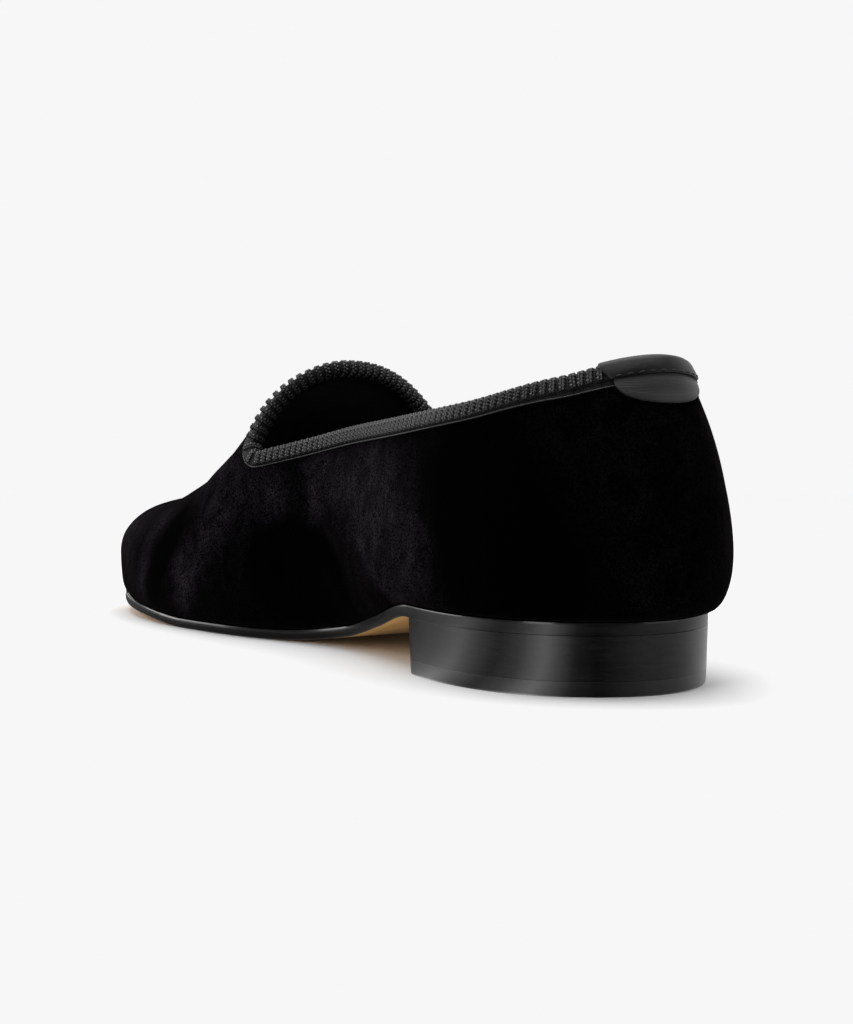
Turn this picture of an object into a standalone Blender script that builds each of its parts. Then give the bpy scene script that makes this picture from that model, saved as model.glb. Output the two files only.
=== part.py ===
"""Velvet slipper loafer for the right foot: leather sole and heel, velvet upper, ribbed topline binding.

Lengths are in metres. x runs from the heel to the toe, y to the shoe's inner side and z up. Everything is
worked out from one last, the foot-shaped form that a shoe is made on.
"""

import math
from collections import namedtuple

import bmesh
import bpy
import numpy as np
from mathutils import Vector
from mathutils.bvhtree import BVHTree

MM = 0.001

# The last
LAST_LENGTH = 285 * MM
BALL_WIDTH = 96.5 * MM
HEEL_HEIGHT = 15.0 * MM
TOE_SPRING = 6.0 * MM
INSTEP_HEIGHT = 80.3 * MM
TOE_HEIGHT = 34.6 * MM
BACK_HEIGHT = 63.1 * MM
NOTCH_HEIGHT = 52.3 * MM
OVERHANG = 6.0 * MM
FULLEST_HEIGHT = 15.5 * MM
TONGUE_LEAN = 10.3 * MM
NOTCH_RADIUS = 5.0 * MM
TUCK_ROUNDNESS = 2.3

# The sole and heel
SOLE_THICKNESS = 3.1 * MM
SOLE_EDGE = 2.0 * MM
SOLE_EDGE_ROUND = 0.7 * MM
TOP_PIECE_THICKNESS = 3.8 * MM
HEEL_TAPER = 0.5 * MM
BREAST_HOLLOW = 1.6 * MM
EDGE_BEVEL = 0.35 * MM

# The upper and what is sewn to it
WALL = 2.0 * MM
LASTING_MARGIN = 7.0 * MM
INSOLE_THICKNESS = 2.5 * MM
INSOLE_INSET = 2.2 * MM
BINDING_DEPTH = 6.4 * MM
SELVEDGE_DEPTH = 2.0 * MM
BINDING_THICKNESS = 1.4 * MM
SELVEDGE_THICKNESS = 0.7 * MM
TAB_HALF_LENGTH = 15.5 * MM
TAB_DEPTH = 4.0 * MM
TAB_THICKNESS = 1.3 * MM
PATCH_HALF_WIDTH = 12.6 * MM
PATCH_DEPTH = 7.4 * MM
PATCH_THICKNESS = 1.0 * MM
GAP = 0.3 * MM
FOLD_GAP = 0.5 * MM

# Shares of LAST_LENGTH, counted from the heel
HEEL_CENTRE = 0.119
TOE_CENTRE = 0.852
CENTRE_BLEND = 0.042
THROAT = 0.574
BREAST = 0.231

# One row for each rib of the last, round the sole line: heel, inner side, toe, outer side.
# along: share of LAST_LENGTH. across: share of BALL_WIDTH, inner side positive.
# overhang: share of OVERHANG that the wall stands out past the sole line.
# fullest: share of FULLEST_HEIGHT at which it does. edge: share of SOLE_EDGE that the sole shows.
Rib = namedtuple("Rib", "along across overhang fullest edge")
RIBS = (
    Rib(0.004, 0.000, 1.35, 1.00, 0.00),
    Rib(0.038, 0.219, 1.20, 1.00, 0.30),
    Rib(0.100, 0.324, 0.88, 1.00, 0.65),
    Rib(0.200, 0.345, 0.68, 1.00, 0.65),
    Rib(0.320, 0.276, 0.90, 1.05, 0.50),
    Rib(0.450, 0.218, 1.15, 1.10, 0.40),
    Rib(0.580, 0.325, 0.90, 0.95, 0.45),
    Rib(0.700, 0.386, 0.68, 0.80, 0.55),
    Rib(0.800, 0.391, 0.58, 0.80, 0.70),
    Rib(0.900, 0.322, 0.58, 0.80, 0.90),
    Rib(0.965, 0.208, 0.48, 0.80, 1.00),
    Rib(0.992, 0.040, 0.48, 0.80, 1.00),
    Rib(0.965, -0.148, 0.48, 0.80, 1.00),
    Rib(0.900, -0.325, 0.58, 0.80, 0.90),
    Rib(0.800, -0.436, 0.58, 0.80, 0.70),
    Rib(0.680, -0.500, 0.68, 0.85, 0.55),
    Rib(0.560, -0.472, 0.78, 0.90, 0.45),
    Rib(0.440, -0.390, 0.78, 0.90, 0.40),
    Rib(0.320, -0.342, 0.78, 1.00, 0.50),
    Rib(0.200, -0.350, 0.72, 1.00, 0.65),
    Rib(0.100, -0.318, 0.88, 1.00, 0.65),
    Rib(0.038, -0.208, 1.20, 1.00, 0.30),
)

# Height of the sole's tread: shares of HEEL_HEIGHT towards the heel and of TOE_SPRING towards the toe.
Tread = namedtuple("Tread", "along heel spring")
TREADS = (
    Tread(0.000, 1.00, 0.00),
    Tread(0.240, 1.00, 0.00),
    Tread(0.340, 0.62, 0.00),
    Tread(0.440, 0.21, 0.00),
    Tread(0.530, 0.02, 0.00),
    Tread(0.570, 0.00, 0.00),
    Tread(0.700, 0.00, 0.00),
    Tread(0.800, 0.00, 0.31),
    Tread(0.900, 0.00, 0.56),
    Tread(1.000, 0.00, 1.00),
)

# The ridge of the last, over the middle of the foot.
# height: 0 is TOE_HEIGHT and 1 is INSTEP_HEIGHT. across: share of BALL_WIDTH.
# squareness: the exponent of the section's curve. lean: share of TONGUE_LEAN that a rib leans back.
Ridge = namedtuple("Ridge", "along height across squareness lean")
RIDGES = (
    Ridge(0.000, 0.970, 0.000, 2.40, 0.00),
    Ridge(0.040, 0.972, 0.000, 1.78, 0.00),
    Ridge(0.100, 0.975, 0.000, 1.75, 0.00),
    Ridge(0.200, 0.980, 0.000, 1.97, 0.00),
    Ridge(0.300, 1.070, 0.012, 1.95, 0.00),
    Ridge(0.400, 1.160, 0.022, 2.00, 0.25),
    Ridge(THROAT, 1.000, 0.024, 2.13, 1.00),
    Ridge(0.640, 0.655, 0.016, 2.20, 0.70),
    Ridge(0.740, 0.247, 0.003, 2.32, 0.06),
    Ridge(0.840, 0.000, 0.014, 2.38, 0.00),
    Ridge(1.000, -0.030, 0.050, 2.20, 0.00),
)

# Height of the topline along each side: 0 is the notch and 1 is the back.
Topline = namedtuple("Topline", "along height")
TOPLINES = (
    Topline(0.000, 1.00),
    Topline(0.040, 0.83),
    Topline(0.070, 0.76),
    Topline(0.100, 0.69),
    Topline(0.150, 0.58),
    Topline(0.250, 0.45),
    Topline(0.400, 0.31),
    Topline(THROAT, 0.00),
)

# How the upper's grid is spread over the last
OUTLINE_SAMPLES = 1440
HEEL_RIBS = 10
QUARTER_RIBS = 13
CORNER_RIBS = 6
VAMP_RIBS = 13
TOE_RIBS = 7
LOWER_ROWS = 8
UPPER_ROWS = 12
TUCK_SHARE = 0.22
FRONT_SPLIT = 0.56
SPLIT_BLEND = 0.12
SURFACE_STATIONS = 130
SURFACE_END_STATIONS = 40
SURFACE_ROWS = 61

# How many sections the other pieces have
BINDING_SECTIONS = 78
TAB_SECTIONS = 25
PATCH_SECTIONS = 21
SOLE_END_STATIONS = 10
HEEL_STATIONS = 16
BREAST_STATIONS = 9


def through(rows, column, along):
    """A smooth curve through one column of a table, with no overshoot between its rows."""
    x = np.array([row.along for row in rows]) * LAST_LENGTH
    y = np.array([getattr(row, column) for row in rows])
    width = np.diff(x)
    slope = np.diff(y) / width
    tangent = np.concatenate([[slope[0]], np.zeros(len(y) - 2), [slope[-1]]])
    for i in range(1, len(y) - 1):
        if slope[i - 1] * slope[i] > 0:
            before = 2 * width[i] + width[i - 1]
            after = width[i] + 2 * width[i - 1]
            tangent[i] = (before + after) / (before / slope[i - 1] + after / slope[i])
    along = np.clip(along, x[0], x[-1])
    k = np.clip(np.searchsorted(x, along, side="right") - 1, 0, len(width) - 1)
    t = (along - x[k]) / width[k]
    start = (2 * t**3 - 3 * t**2 + 1) * y[k] + (t**3 - 2 * t**2 + t) * width[k] * tangent[k]
    end = (3 * t**2 - 2 * t**3) * y[k + 1] + (t**3 - t**2) * width[k] * tangent[k + 1]
    return start + end


def closed_curve(points, count):
    """A closed cubic spline through the points, spaced by the distance between them in plan."""
    steps = np.linalg.norm(np.roll(points[:, :2], -1, 0) - points[:, :2], axis=1)
    knots = np.concatenate([[0], np.cumsum(steps)])
    size = len(points)
    system = np.zeros((size, size))
    right = np.zeros(points.shape)
    for i in range(size):
        before = (i - 1) % size
        after = (i + 1) % size
        system[i, before] += steps[before]
        system[i, i] += 2 * (steps[before] + steps[i])
        system[i, after] += steps[i]
        rise = (points[after] - points[i]) / steps[i]
        right[i] = 6 * (rise - (points[i] - points[before]) / steps[before])
    bend = np.linalg.solve(system, right)
    at = np.arange(count) / count * knots[-1]
    k = np.searchsorted(knots, at, side="right") - 1
    after = (k + 1) % size
    x = (at - knots[k])[:, None]
    step = steps[k][:, None]
    slope = (points[after] - points[k]) / step - step * (2 * bend[k] + bend[after]) / 6
    return points[k] + slope * x + bend[k] / 2 * x**2 + (bend[after] - bend[k]) / (6 * step) * x**3


def last_outline():
    """The sole line: x, y, overhang, height of the fullest point and sole edge, all in metres."""
    scale = np.array([LAST_LENGTH, BALL_WIDTH, OVERHANG, FULLEST_HEIGHT, SOLE_EDGE])
    return closed_curve(np.array(RIBS) * scale, OUTLINE_SAMPLES)


def moved_outline(outline, distance):
    """The outline pushed outwards in plan by a distance, or by one for each point."""
    ahead = np.roll(outline[:, :2], -1, 0) - np.roll(outline[:, :2], 1, 0)
    outwards = np.stack([-ahead[:, 1], ahead[:, 0]], 1)
    outwards /= np.linalg.norm(outwards, axis=1)[:, None]
    moved = outline.copy()
    moved[:, :2] += outwards * np.broadcast_to(distance, len(outline))[:, None]
    return moved


def sides_of(outline):
    """The heel's last point, the toe's first one and the rows of each side from heel to toe."""
    heel = int(np.argmin(outline[:, 0]))
    turned = np.roll(outline, -heel, 0)
    toe = int(np.argmax(turned[:, 0]))
    inner = turned[: toe + 1]
    outer = np.concatenate([turned[toe:], turned[:1]])[::-1]
    return turned[0], turned[toe], inner, outer


def rows_at(side, stations):
    """Rows of one side at these distances from the heel."""
    columns = [np.interp(stations, side[:, 0], side[:, c]) for c in range(side.shape[1])]
    return np.stack(columns, 1)


def loop_of(outline, stations):
    """Rows round an outline: heel point, inner side at the stations, toe point, outer side back."""
    heel, toe, inner, outer = sides_of(outline)
    there = rows_at(inner, stations)
    back = rows_at(outer, stations)[::-1]
    return np.concatenate([[heel], there, [toe], back])


def towards_end(end, start, count):
    """Stations that crowd towards a round end, the nearest to it first."""
    turn = np.arange(1, count + 1) / count * math.pi / 2
    return end + (start - end) * (1 - np.cos(turn))


def ends_and_middle(first, start, middle, stop, last, count):
    """Stations from heel to toe that crowd towards both ends of an outline."""
    return np.concatenate([towards_end(first, start, count), middle, towards_end(last, stop, count)[::-1]])


def tread_height(along):
    """Height of the sole's underside above the floor."""
    heel = through(TREADS, "heel", along) * HEEL_HEIGHT
    return heel + through(TREADS, "spring", along) * TOE_SPRING


def sole_line(along):
    """Height at which the upper meets the sole."""
    return tread_height(along) + SOLE_THICKNESS + GAP


def centre_station(along):
    """The point of the ridge that a rib runs to: straight across, then fanned round heel and toe."""
    blend = CENTRE_BLEND * LAST_LENGTH
    heel = HEEL_CENTRE * LAST_LENGTH
    toe = TOE_CENTRE * LAST_LENGTH
    bent = heel + (np.clip(along - heel, -blend, blend) + blend) ** 2 / (4 * blend)
    along = np.where(along < heel + blend, bent, along)
    bent = toe - (blend - np.clip(along - toe, -blend, blend)) ** 2 / (4 * blend)
    return np.where(along > toe - blend, bent, along)


def ridge_height(along):
    share = through(RIDGES, "height", along)
    return sole_line(along) + TOE_HEIGHT + share * (INSTEP_HEIGHT - TOE_HEIGHT)


def topline_height(along):
    """Height of the velvet's edge, with the round corner where it turns up into the tongue."""
    throat = np.array(THROAT * LAST_LENGTH)
    notch = sole_line(throat) + NOTCH_HEIGHT
    back = sole_line(np.array(0.0)) + BACK_HEIGHT
    plain = notch + through(TOPLINES, "height", along) * (back - notch)
    run = np.clip(along - (throat - NOTCH_RADIUS), 0, NOTCH_RADIUS)
    return plain + NOTCH_RADIUS - np.sqrt(NOTCH_RADIUS**2 - run**2)


def last_points(rows, share=None, height=None):
    """Points of the last on the ribs that start at these rows, by share of a rib's way or by height."""
    along, across, overhang, fullest = (rows[:, c : c + 1] for c in range(4))
    centre = centre_station(along)
    centre_across = through(RIDGES, "across", centre) * BALL_WIDTH
    base = sole_line(along)
    rise = ridge_height(centre) - base
    power = through(RIDGES, "squareness", along)
    reach = np.hypot(centre - along, centre_across - across)
    if height is None:
        turn = np.clip((share - TUCK_SHARE) / (1 - TUCK_SHARE), 0, 1) * math.pi / 2
        low = fullest * np.clip(share / TUCK_SHARE, 0, 1) ** 1.5
        up = np.where(share < TUCK_SHARE, low, fullest + (rise - fullest) * np.sin(turn) ** (2 / power))
    else:
        up = height - base
    under = np.clip(1 - up / fullest, 0, 1)
    over = np.clip((up - fullest) / (rise - fullest), 0, 1)
    out = overhang * (1 - under**TUCK_ROUNDNESS) ** (1 / TUCK_ROUNDNESS)
    inwards = (reach + overhang) * (1 - (1 - over**power) ** (1 / power)) - overhang
    part = np.where(up < fullest, -out, inwards) / reach
    lean = through(RIDGES, "lean", along) * TONGUE_LEAN
    lean = lean * np.sin(np.clip(part, 0, 1) * math.pi / 2) ** 2
    x = along + (centre - along) * part - lean
    y = across + (centre_across - across) * part
    return np.stack([x, y, base + up], -1)


def share_at(rows, height):
    """The share of a rib's way at which it reaches a height."""
    shares = np.linspace(0, 1, 401)
    heights = last_points(rows, share=shares[None, :])[:, :, 2]
    return np.array([np.interp(height[i], heights[i], shares) for i in range(len(rows))])


def margin_points(rows):
    """The inner rim of the margin that is turned in under the foot."""
    along, across = rows[:, 0], rows[:, 1]
    centre = centre_station(along)
    centre_across = through(RIDGES, "across", centre) * BALL_WIDTH
    part = LASTING_MARGIN / np.hypot(centre - along, centre_across - across)
    x = along + (centre - along) * part
    y = across + (centre_across - across) * part
    return np.stack([x, y, sole_line(x)], -1)


def faces_to_object(name, points, faces, finish):
    """A mesh object from points and faces, with doubled points joined."""
    mesh = bpy.data.meshes.new(name)
    work = bmesh.new()
    corners = [work.verts.new(point) for point in points]
    for face in faces:
        work.faces.new([corners[i] for i in face])
    bmesh.ops.remove_doubles(work, verts=work.verts, dist=0.02 * MM)
    bmesh.ops.recalc_face_normals(work, faces=work.faces)
    work.to_mesh(mesh)
    work.free()
    made = bpy.data.objects.new(name, mesh)
    bpy.context.scene.collection.objects.link(made)
    mesh.materials.append(finish)
    mesh.shade_smooth()
    mesh.set_sharp_from_angle(angle=math.radians(40))
    return made


def grid_faces(first, across, along, wrapped=False):
    """Quads of a grid whose points are stored row by row."""
    faces = []
    for j in range(along if wrapped else along - 1):
        after = (j + 1) % along
        for k in range(across - 1):
            a, b = first + j * across + k, first + after * across + k
            faces.append((a, b, b + 1, a + 1))
    return faces


def finish_of(name, colour, roughness, sheen=0.0):
    """A Principled material."""
    made = bpy.data.materials.new(name)
    made.use_nodes = True
    shader = made.node_tree.nodes["Principled BSDF"]
    shader.inputs["Base Color"].default_value = (*colour, 1)
    shader.inputs["Roughness"].default_value = roughness
    shader.inputs["Sheen Weight"].default_value = sheen
    return made


def quarter_stations():
    """Stations of the ribs behind the throat, close together at the notch's round corner."""
    throat = THROAT * LAST_LENGTH
    start = (HEEL_CENTRE + CENTRE_BLEND) * LAST_LENGTH
    heel = towards_end(RIBS[0].along * LAST_LENGTH, start, HEEL_RIBS)
    turn = np.linspace(0, 1, CORNER_RIBS) * math.pi / 2
    corner = throat - NOTCH_RADIUS * (1 - np.sin(turn))
    middle = np.linspace(start, corner[0], QUARTER_RIBS)[1:-1]
    return np.concatenate([heel, middle, corner])


def front_stations(tip):
    """Stations of the ribs before the throat, close together behind the tongue and at the toe."""
    throat = THROAT * LAST_LENGTH
    fan = (TOE_CENTRE + CENTRE_BLEND) * LAST_LENGTH
    share = np.arange(1, VAMP_RIBS + 1) / VAMP_RIBS
    vamp = throat + (fan - throat) * (0.4 * share + 0.6 * share**2)
    toe = towards_end(tip, fan, TOE_RIBS + 1)[-2::-1]
    return np.concatenate([vamp, toe])


def make_upper(outline, finish):
    """The velvet upper: one hollow wall, open at the topline and underneath."""
    quarter = quarter_stations()
    tip = sides_of(outline)[1][0]
    rows = loop_of(outline, np.concatenate([quarter, front_stations(tip)]))
    behind = len(quarter)
    throat = THROAT * LAST_LENGTH
    is_front = rows[:, 0] > throat + 0.01 * MM
    top = share_at(rows, topline_height(np.minimum(rows[:, 0], throat)))
    blend = np.clip((rows[:, 0] - throat) / (SPLIT_BLEND * LAST_LENGTH), 0, 1)
    blend = blend * blend * (3 - 2 * blend)
    corner = share_at(rows, np.full(len(rows), topline_height(np.array(throat))))[behind]
    top = np.where(is_front, corner + (FRONT_SPLIT - corner) * blend, top)
    levels = np.linspace(0, 1, LOWER_ROWS + 1) ** 0.9
    lower = last_points(rows, share=top[:, None] * levels[None, :])
    lower = np.concatenate([margin_points(rows)[:, None], lower], 1)
    faces = grid_faces(0, LOWER_ROWS + 2, len(rows), wrapped=True)
    ahead = slice(behind, len(rows) - behind + 1)
    climb = np.linspace(0, 1, UPPER_ROWS + 1)[None, :]
    start = top[ahead][:, None]
    upper = last_points(rows[ahead], share=start + (1 - start) * climb)
    faces += grid_faces(lower.shape[0] * lower.shape[1], UPPER_ROWS + 1, upper.shape[0])
    points = np.concatenate([lower.reshape(-1, 3), upper.reshape(-1, 3)])
    made = faces_to_object("upper", points, faces, finish)
    turn_outwards(made)
    wall = made.modifiers.new("wall", "SOLIDIFY")
    wall.thickness = WALL
    wall.offset = -1
    wall.use_even_offset = True
    wall.use_quality_normals = True
    return made


def turn_outwards(made):
    """Turns an open shell's faces away from its middle."""
    mesh = made.data
    middle = sum((v.co for v in mesh.vertices), Vector()) / len(mesh.vertices)
    if sum((f.center - middle).dot(f.normal) * f.area for f in mesh.polygons) < 0:
        mesh.flip_normals()


def last_surface(outline):
    """The whole last as a fine surface that trims are laid on."""
    first, last = sides_of(outline)[:2]
    start, stop = HEEL_CENTRE * LAST_LENGTH, TOE_CENTRE * LAST_LENGTH
    middle = np.linspace(start, stop, SURFACE_STATIONS)[1:-1]
    rows = loop_of(outline, ends_and_middle(first[0], start, middle, stop, last[0], SURFACE_END_STATIONS))
    shares = np.linspace(0, 1, SURFACE_ROWS)[None, :]
    points = last_points(rows, share=shares).reshape(-1, 3)
    faces = grid_faces(0, SURFACE_ROWS, len(rows), wrapped=True)
    return BVHTree.FromPolygons([Vector(p) for p in points], faces)


def on_surface(surface, point, inside):
    """The nearest point of the last and its outward normal."""
    place, normal, _, _ = surface.find_nearest(point)
    return place, normal if (place - inside).dot(normal) > 0 else -normal


def topline_path(outline):
    """The velvet's edge once round, from the back along the inner side, over the tongue and back."""
    heel, _, inner, outer = sides_of(outline)
    throat = THROAT * LAST_LENGTH
    fine = np.concatenate([
        heel[0] + (throat * 0.25 - heel[0]) * (1 - np.cos(np.linspace(0, 1, 60)[1:] * math.pi / 2)),
        np.linspace(throat * 0.25, throat - NOTCH_RADIUS, 50)[1:],
        throat - NOTCH_RADIUS * (1 - np.sin(np.linspace(0, 1, 20)[1:] * math.pi / 2)),
    ])
    sides = []
    for side in (inner, outer):
        rows = rows_at(side, np.concatenate([[heel[0]], fine]))
        low = last_points(rows, height=topline_height(rows[:, 0])[:, None])[:, 0]
        start = share_at(rows[-1:], topline_height(rows[-1:, 0]))[0]
        climb = start + (1 - start) * np.linspace(0, 1, 40)[None, 1:]
        sides.append(np.concatenate([low, last_points(rows[-1:], share=climb)[0]]))
    return np.concatenate([sides[0], sides[1][-2::-1]])[:-1]


def along_path(path, distances):
    """Points of a closed path at these distances from its start, and the length of the path."""
    closed = np.concatenate([path, path[:1]])
    reach = np.concatenate([[0], np.cumsum(np.linalg.norm(np.diff(closed, axis=0), axis=1))])
    at = np.mod(distances, reach[-1])
    return np.stack([np.interp(at, reach, closed[:, c]) for c in range(3)], 1), reach[-1]


def trim_sections(path, surface, distances, sections):
    """Sections laid across the topline: each point is a depth below the edge and a height off the velvet."""
    step = 0.4 * MM
    places = along_path(path, distances)[0]
    ahead = along_path(path, distances + step)[0] - along_path(path, distances - step)[0]
    rows = []
    for place, tangent, section in zip(places, ahead, sections):
        along = Vector(tangent).normalized()
        centre = centre_station(np.array(place[0]))
        inside = Vector((centre, 0, place[2] * 0.6))
        place, normal = on_surface(surface, Vector(place), inside)
        down = normal.cross(along).normalized()
        if down.dot(Vector((0.35, 0, -1))) < 0:
            down.negate()
        row = []
        for depth, off in section:
            foot, out = place + down * depth, normal
            if depth > 0:
                foot, out = on_surface(surface, foot, inside)
            row.append(foot + out * off)
        rows.append(row)
    return np.array(rows)


def loft_object(name, rows, finish):
    """A closed solid through sections with the same number of points, with flat ends."""
    along, across = rows.shape[:2]
    points = rows.reshape(-1, 3)
    faces = []
    for j in range(along - 1):
        for k in range(across):
            a, b = j * across + k, j * across + (k + 1) % across
            faces.append((a, a + across, b + across, b))
    faces.append(tuple(range(across)))
    faces.append(tuple((along - 1) * across + k for k in range(across)))
    made = faces_to_object(name, points, faces, finish)
    split_ends(made)
    return made


def split_ends(made):
    """Splits the end faces, which are not quite flat, into triangles."""
    work = bmesh.new()
    work.from_mesh(made.data)
    bmesh.ops.triangulate(work, faces=[f for f in work.faces if len(f.verts) > 4])
    work.to_mesh(made.data)
    work.free()


def channel_section(depth, thickness, lower_depth, lower_thickness, inner_depth):
    """A folded strip's section: up the outside, over the wall's edge and down the inside."""
    inside = -WALL - FOLD_GAP
    full = depth + lower_depth
    return [
        (full, GAP),
        (full, GAP + lower_thickness),
        (depth, GAP + lower_thickness),
        (depth - 0.3 * MM, GAP + thickness),
        (0.6 * MM, GAP + thickness),
        (-FOLD_GAP - thickness * 0.75, GAP + thickness * 0.35),
        (-FOLD_GAP - thickness, -WALL / 2),
        (-FOLD_GAP - thickness * 0.75, inside - thickness * 0.35),
        (0.6 * MM, inside - thickness),
        (inner_depth, inside - thickness * 0.6),
        (inner_depth, inside),
        (inner_depth / 2, inside),
        (-FOLD_GAP, inside),
        (-FOLD_GAP, GAP),
        (full / 3, GAP),
        (full * 2 / 3, GAP),
    ]


def binding_distances(path):
    """Distances along the topline for the binding's sections, closer together over the tongue."""
    length = along_path(path, np.zeros(1))[1]
    first = TAB_HALF_LENGTH + GAP
    even = np.linspace(first, length - first, BINDING_SECTIONS)
    reach = along_path(path, even)[0][:, 0]
    near = reach > THROAT * LAST_LENGTH - 2 * NOTCH_RADIUS
    more = [(even[i] + even[i + 1]) / 2 for i in range(len(even) - 1) if near[i] or near[i + 1]]
    return np.sort(np.concatenate([even, more]))


def make_binding(path, surface, finish):
    """The ribbed ribbon folded over the topline, from one end of the heel tab round to the other."""
    distances = binding_distances(path)
    section = channel_section(
        BINDING_DEPTH - SELVEDGE_DEPTH, BINDING_THICKNESS, SELVEDGE_DEPTH, SELVEDGE_THICKNESS, BINDING_DEPTH
    )
    rows = trim_sections(path, surface, distances, [section] * len(distances))
    return loft_object("topline_binding", rows, finish)


def make_heel_tab(path, surface, finish):
    """The leather band folded over the topline at the back."""
    distances = np.linspace(-TAB_HALF_LENGTH, TAB_HALF_LENGTH, TAB_SECTIONS)
    section = channel_section(TAB_DEPTH, TAB_THICKNESS, 0.4 * MM, TAB_THICKNESS * 0.7, BINDING_DEPTH)
    rows = trim_sections(path, surface, distances, [section] * len(distances))
    return loft_object("heel_tab", rows, finish)


def make_heel_patch(path, surface, finish):
    """The half-moon of leather sewn to the velvet under the heel tab."""
    turn = np.linspace(-1, 1, PATCH_SECTIONS) * math.pi / 2
    distances = np.sin(turn) * PATCH_HALF_WIDTH * 0.995
    start = TAB_DEPTH + 0.4 * MM + GAP
    sections = []
    for distance in distances:
        drop = PATCH_DEPTH * math.sqrt(1 - (distance / PATCH_HALF_WIDTH) ** 2)
        sections.append([
            (start, GAP),
            (start, GAP + PATCH_THICKNESS),
            (start + drop * 0.5, GAP + PATCH_THICKNESS),
            (start + drop, GAP + PATCH_THICKNESS * 0.6),
            (start + drop, GAP),
            (start + drop * 0.5, GAP),
        ])
    rows = trim_sections(path, surface, distances, sections)
    return loft_object("heel_tab_patch", rows, finish)


def slab_object(name, loops, heights, finish):
    """A closed slab from outlines stacked upwards, each a loop of rows, capped by strips across."""
    count = len(loops[0])
    points = []
    for loop, height in zip(loops, heights):
        points += [(row[0], row[1], z) for row, z in zip(loop, height)]
    faces = []
    for level in range(len(loops) - 1):
        for j in range(count):
            a, b = level * count + j, level * count + (j + 1) % count
            faces.append((a, b, b + count, a + count))
    half = count // 2
    for level in (0, len(loops) - 1):
        first = level * count
        for j in range(half):
            quad = [first + j, first + j + 1, first + (count - j - 1) % count, first + (count - j) % count]
            faces.append(tuple(dict.fromkeys(quad)))
    return faces_to_object(name, points, faces, finish)


def make_outsole(outline, finish):
    """The leather outsole, with its arch, toe spring and rounded edge."""
    full = moved_outline(outline, outline[:, 4])
    flat = np.array([TREADS[5].along, TREADS[6].along]) * LAST_LENGTH
    breast = BREAST * LAST_LENGTH
    shank = np.linspace(breast, flat[0], 14)
    middle = np.concatenate([[breast * 0.75], shank, np.linspace(flat[0], flat[1], 4)[1:]])
    start, stop = breast * 0.5, TOE_CENTRE * LAST_LENGTH
    middle = np.concatenate([middle, np.linspace(flat[1], stop, 6)[1:-1]])
    inset = 0.8 * MM
    loops = []
    for distance in (-inset, 0, 0, -SOLE_EDGE_ROUND * 0.5):
        edge = moved_outline(full, distance)
        first, last = sides_of(edge)[0][0], sides_of(edge)[1][0]
        loops.append(loop_of(edge, ends_and_middle(first, start, middle, stop, last, SOLE_END_STATIONS)))
    rises = (0, SOLE_EDGE_ROUND, SOLE_THICKNESS - SOLE_EDGE_ROUND * 0.5, SOLE_THICKNESS)
    heights = [tread_height(loop[:, 0]) + rise for loop, rise in zip(loops, rises)]
    return slab_object("outsole", loops, heights, finish)


def make_insole(outline, finish):
    """The leather-covered insole that lies on the turned-in margin."""
    edge = moved_outline(outline, -INSOLE_INSET)
    heel, toe = sides_of(edge)[:2]
    start, stop = HEEL_CENTRE * LAST_LENGTH, TOE_CENTRE * LAST_LENGTH
    stations = ends_and_middle(heel[0], start, np.linspace(start, stop, 22)[1:-1], stop, toe[0], 8)
    loop = loop_of(edge, stations)
    base = sole_line(loop[:, 0]) + WALL + GAP
    return slab_object("insole", [loop, loop], [base, base + INSOLE_THICKNESS], finish)


def heel_outline(outline, inset):
    """The heel's outline in plan, with its slightly hollow breast."""
    edge = moved_outline(outline, outline[:, 4] - inset)
    heel, _, inner, outer = sides_of(edge)
    breast = BREAST * LAST_LENGTH
    stations = towards_end(heel[0], breast - inset, HEEL_STATIONS)
    there = rows_at(inner, stations)[:, :2]
    back = rows_at(outer, stations)[:, :2]
    t = np.linspace(0, 1, BREAST_STATIONS)[1:-1, None]
    line = there[-1] + (back[-1] - there[-1]) * t
    line[:, 0] -= (4 * t * (1 - t))[:, 0] * BREAST_HOLLOW
    return np.concatenate([[heel[:2]], there, line, back[::-1]])


def prism_object(name, bottom, top, low, high, finish):
    """A flat-topped block between two outlines, with its edges taken off."""
    count = len(bottom)
    points = [(x, y, low) for x, y in bottom] + [(x, y, high) for x, y in top]
    faces = [tuple(range(count)), tuple(range(count, 2 * count))]
    for j in range(count):
        after = (j + 1) % count
        faces.append((j, after, after + count, j + count))
    made = faces_to_object(name, points, faces, finish)
    bevel = made.modifiers.new("edges", "BEVEL")
    bevel.width = EDGE_BEVEL
    bevel.segments = 1
    bevel.limit_method = "ANGLE"
    bevel.angle_limit = math.radians(50)
    return made


def make_heel(outline, leather, rubber):
    """The built-up heel and the top piece under it."""
    height = HEEL_HEIGHT - GAP
    seam = TOP_PIECE_THICKNESS / HEEL_HEIGHT * HEEL_TAPER
    joint = heel_outline(outline, HEEL_TAPER - seam)
    stack = prism_object(
        "heel_stack", joint, heel_outline(outline, 0), TOP_PIECE_THICKNESS + GAP, height, leather
    )
    foot = heel_outline(outline, HEEL_TAPER)
    piece = prism_object("top_piece", foot, joint, 0, TOP_PIECE_THICKNESS, rubber)
    return stack, piece


def stand_on_origin(parts):
    """Hangs every part on one empty that puts the middle of the shoe's footprint at the origin."""
    bpy.context.view_layer.update()
    graph = bpy.context.evaluated_depsgraph_get()
    corners = np.array([c for part in parts for c in part.evaluated_get(graph).bound_box])
    low, high = corners.min(0), corners.max(0)
    shoe = bpy.data.objects.new("shoe", None)
    shoe.location = (-(low[0] + high[0]) / 2, -(low[1] + high[1]) / 2, 0)
    bpy.context.scene.collection.objects.link(shoe)
    for part in parts:
        part.parent = shoe


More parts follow.
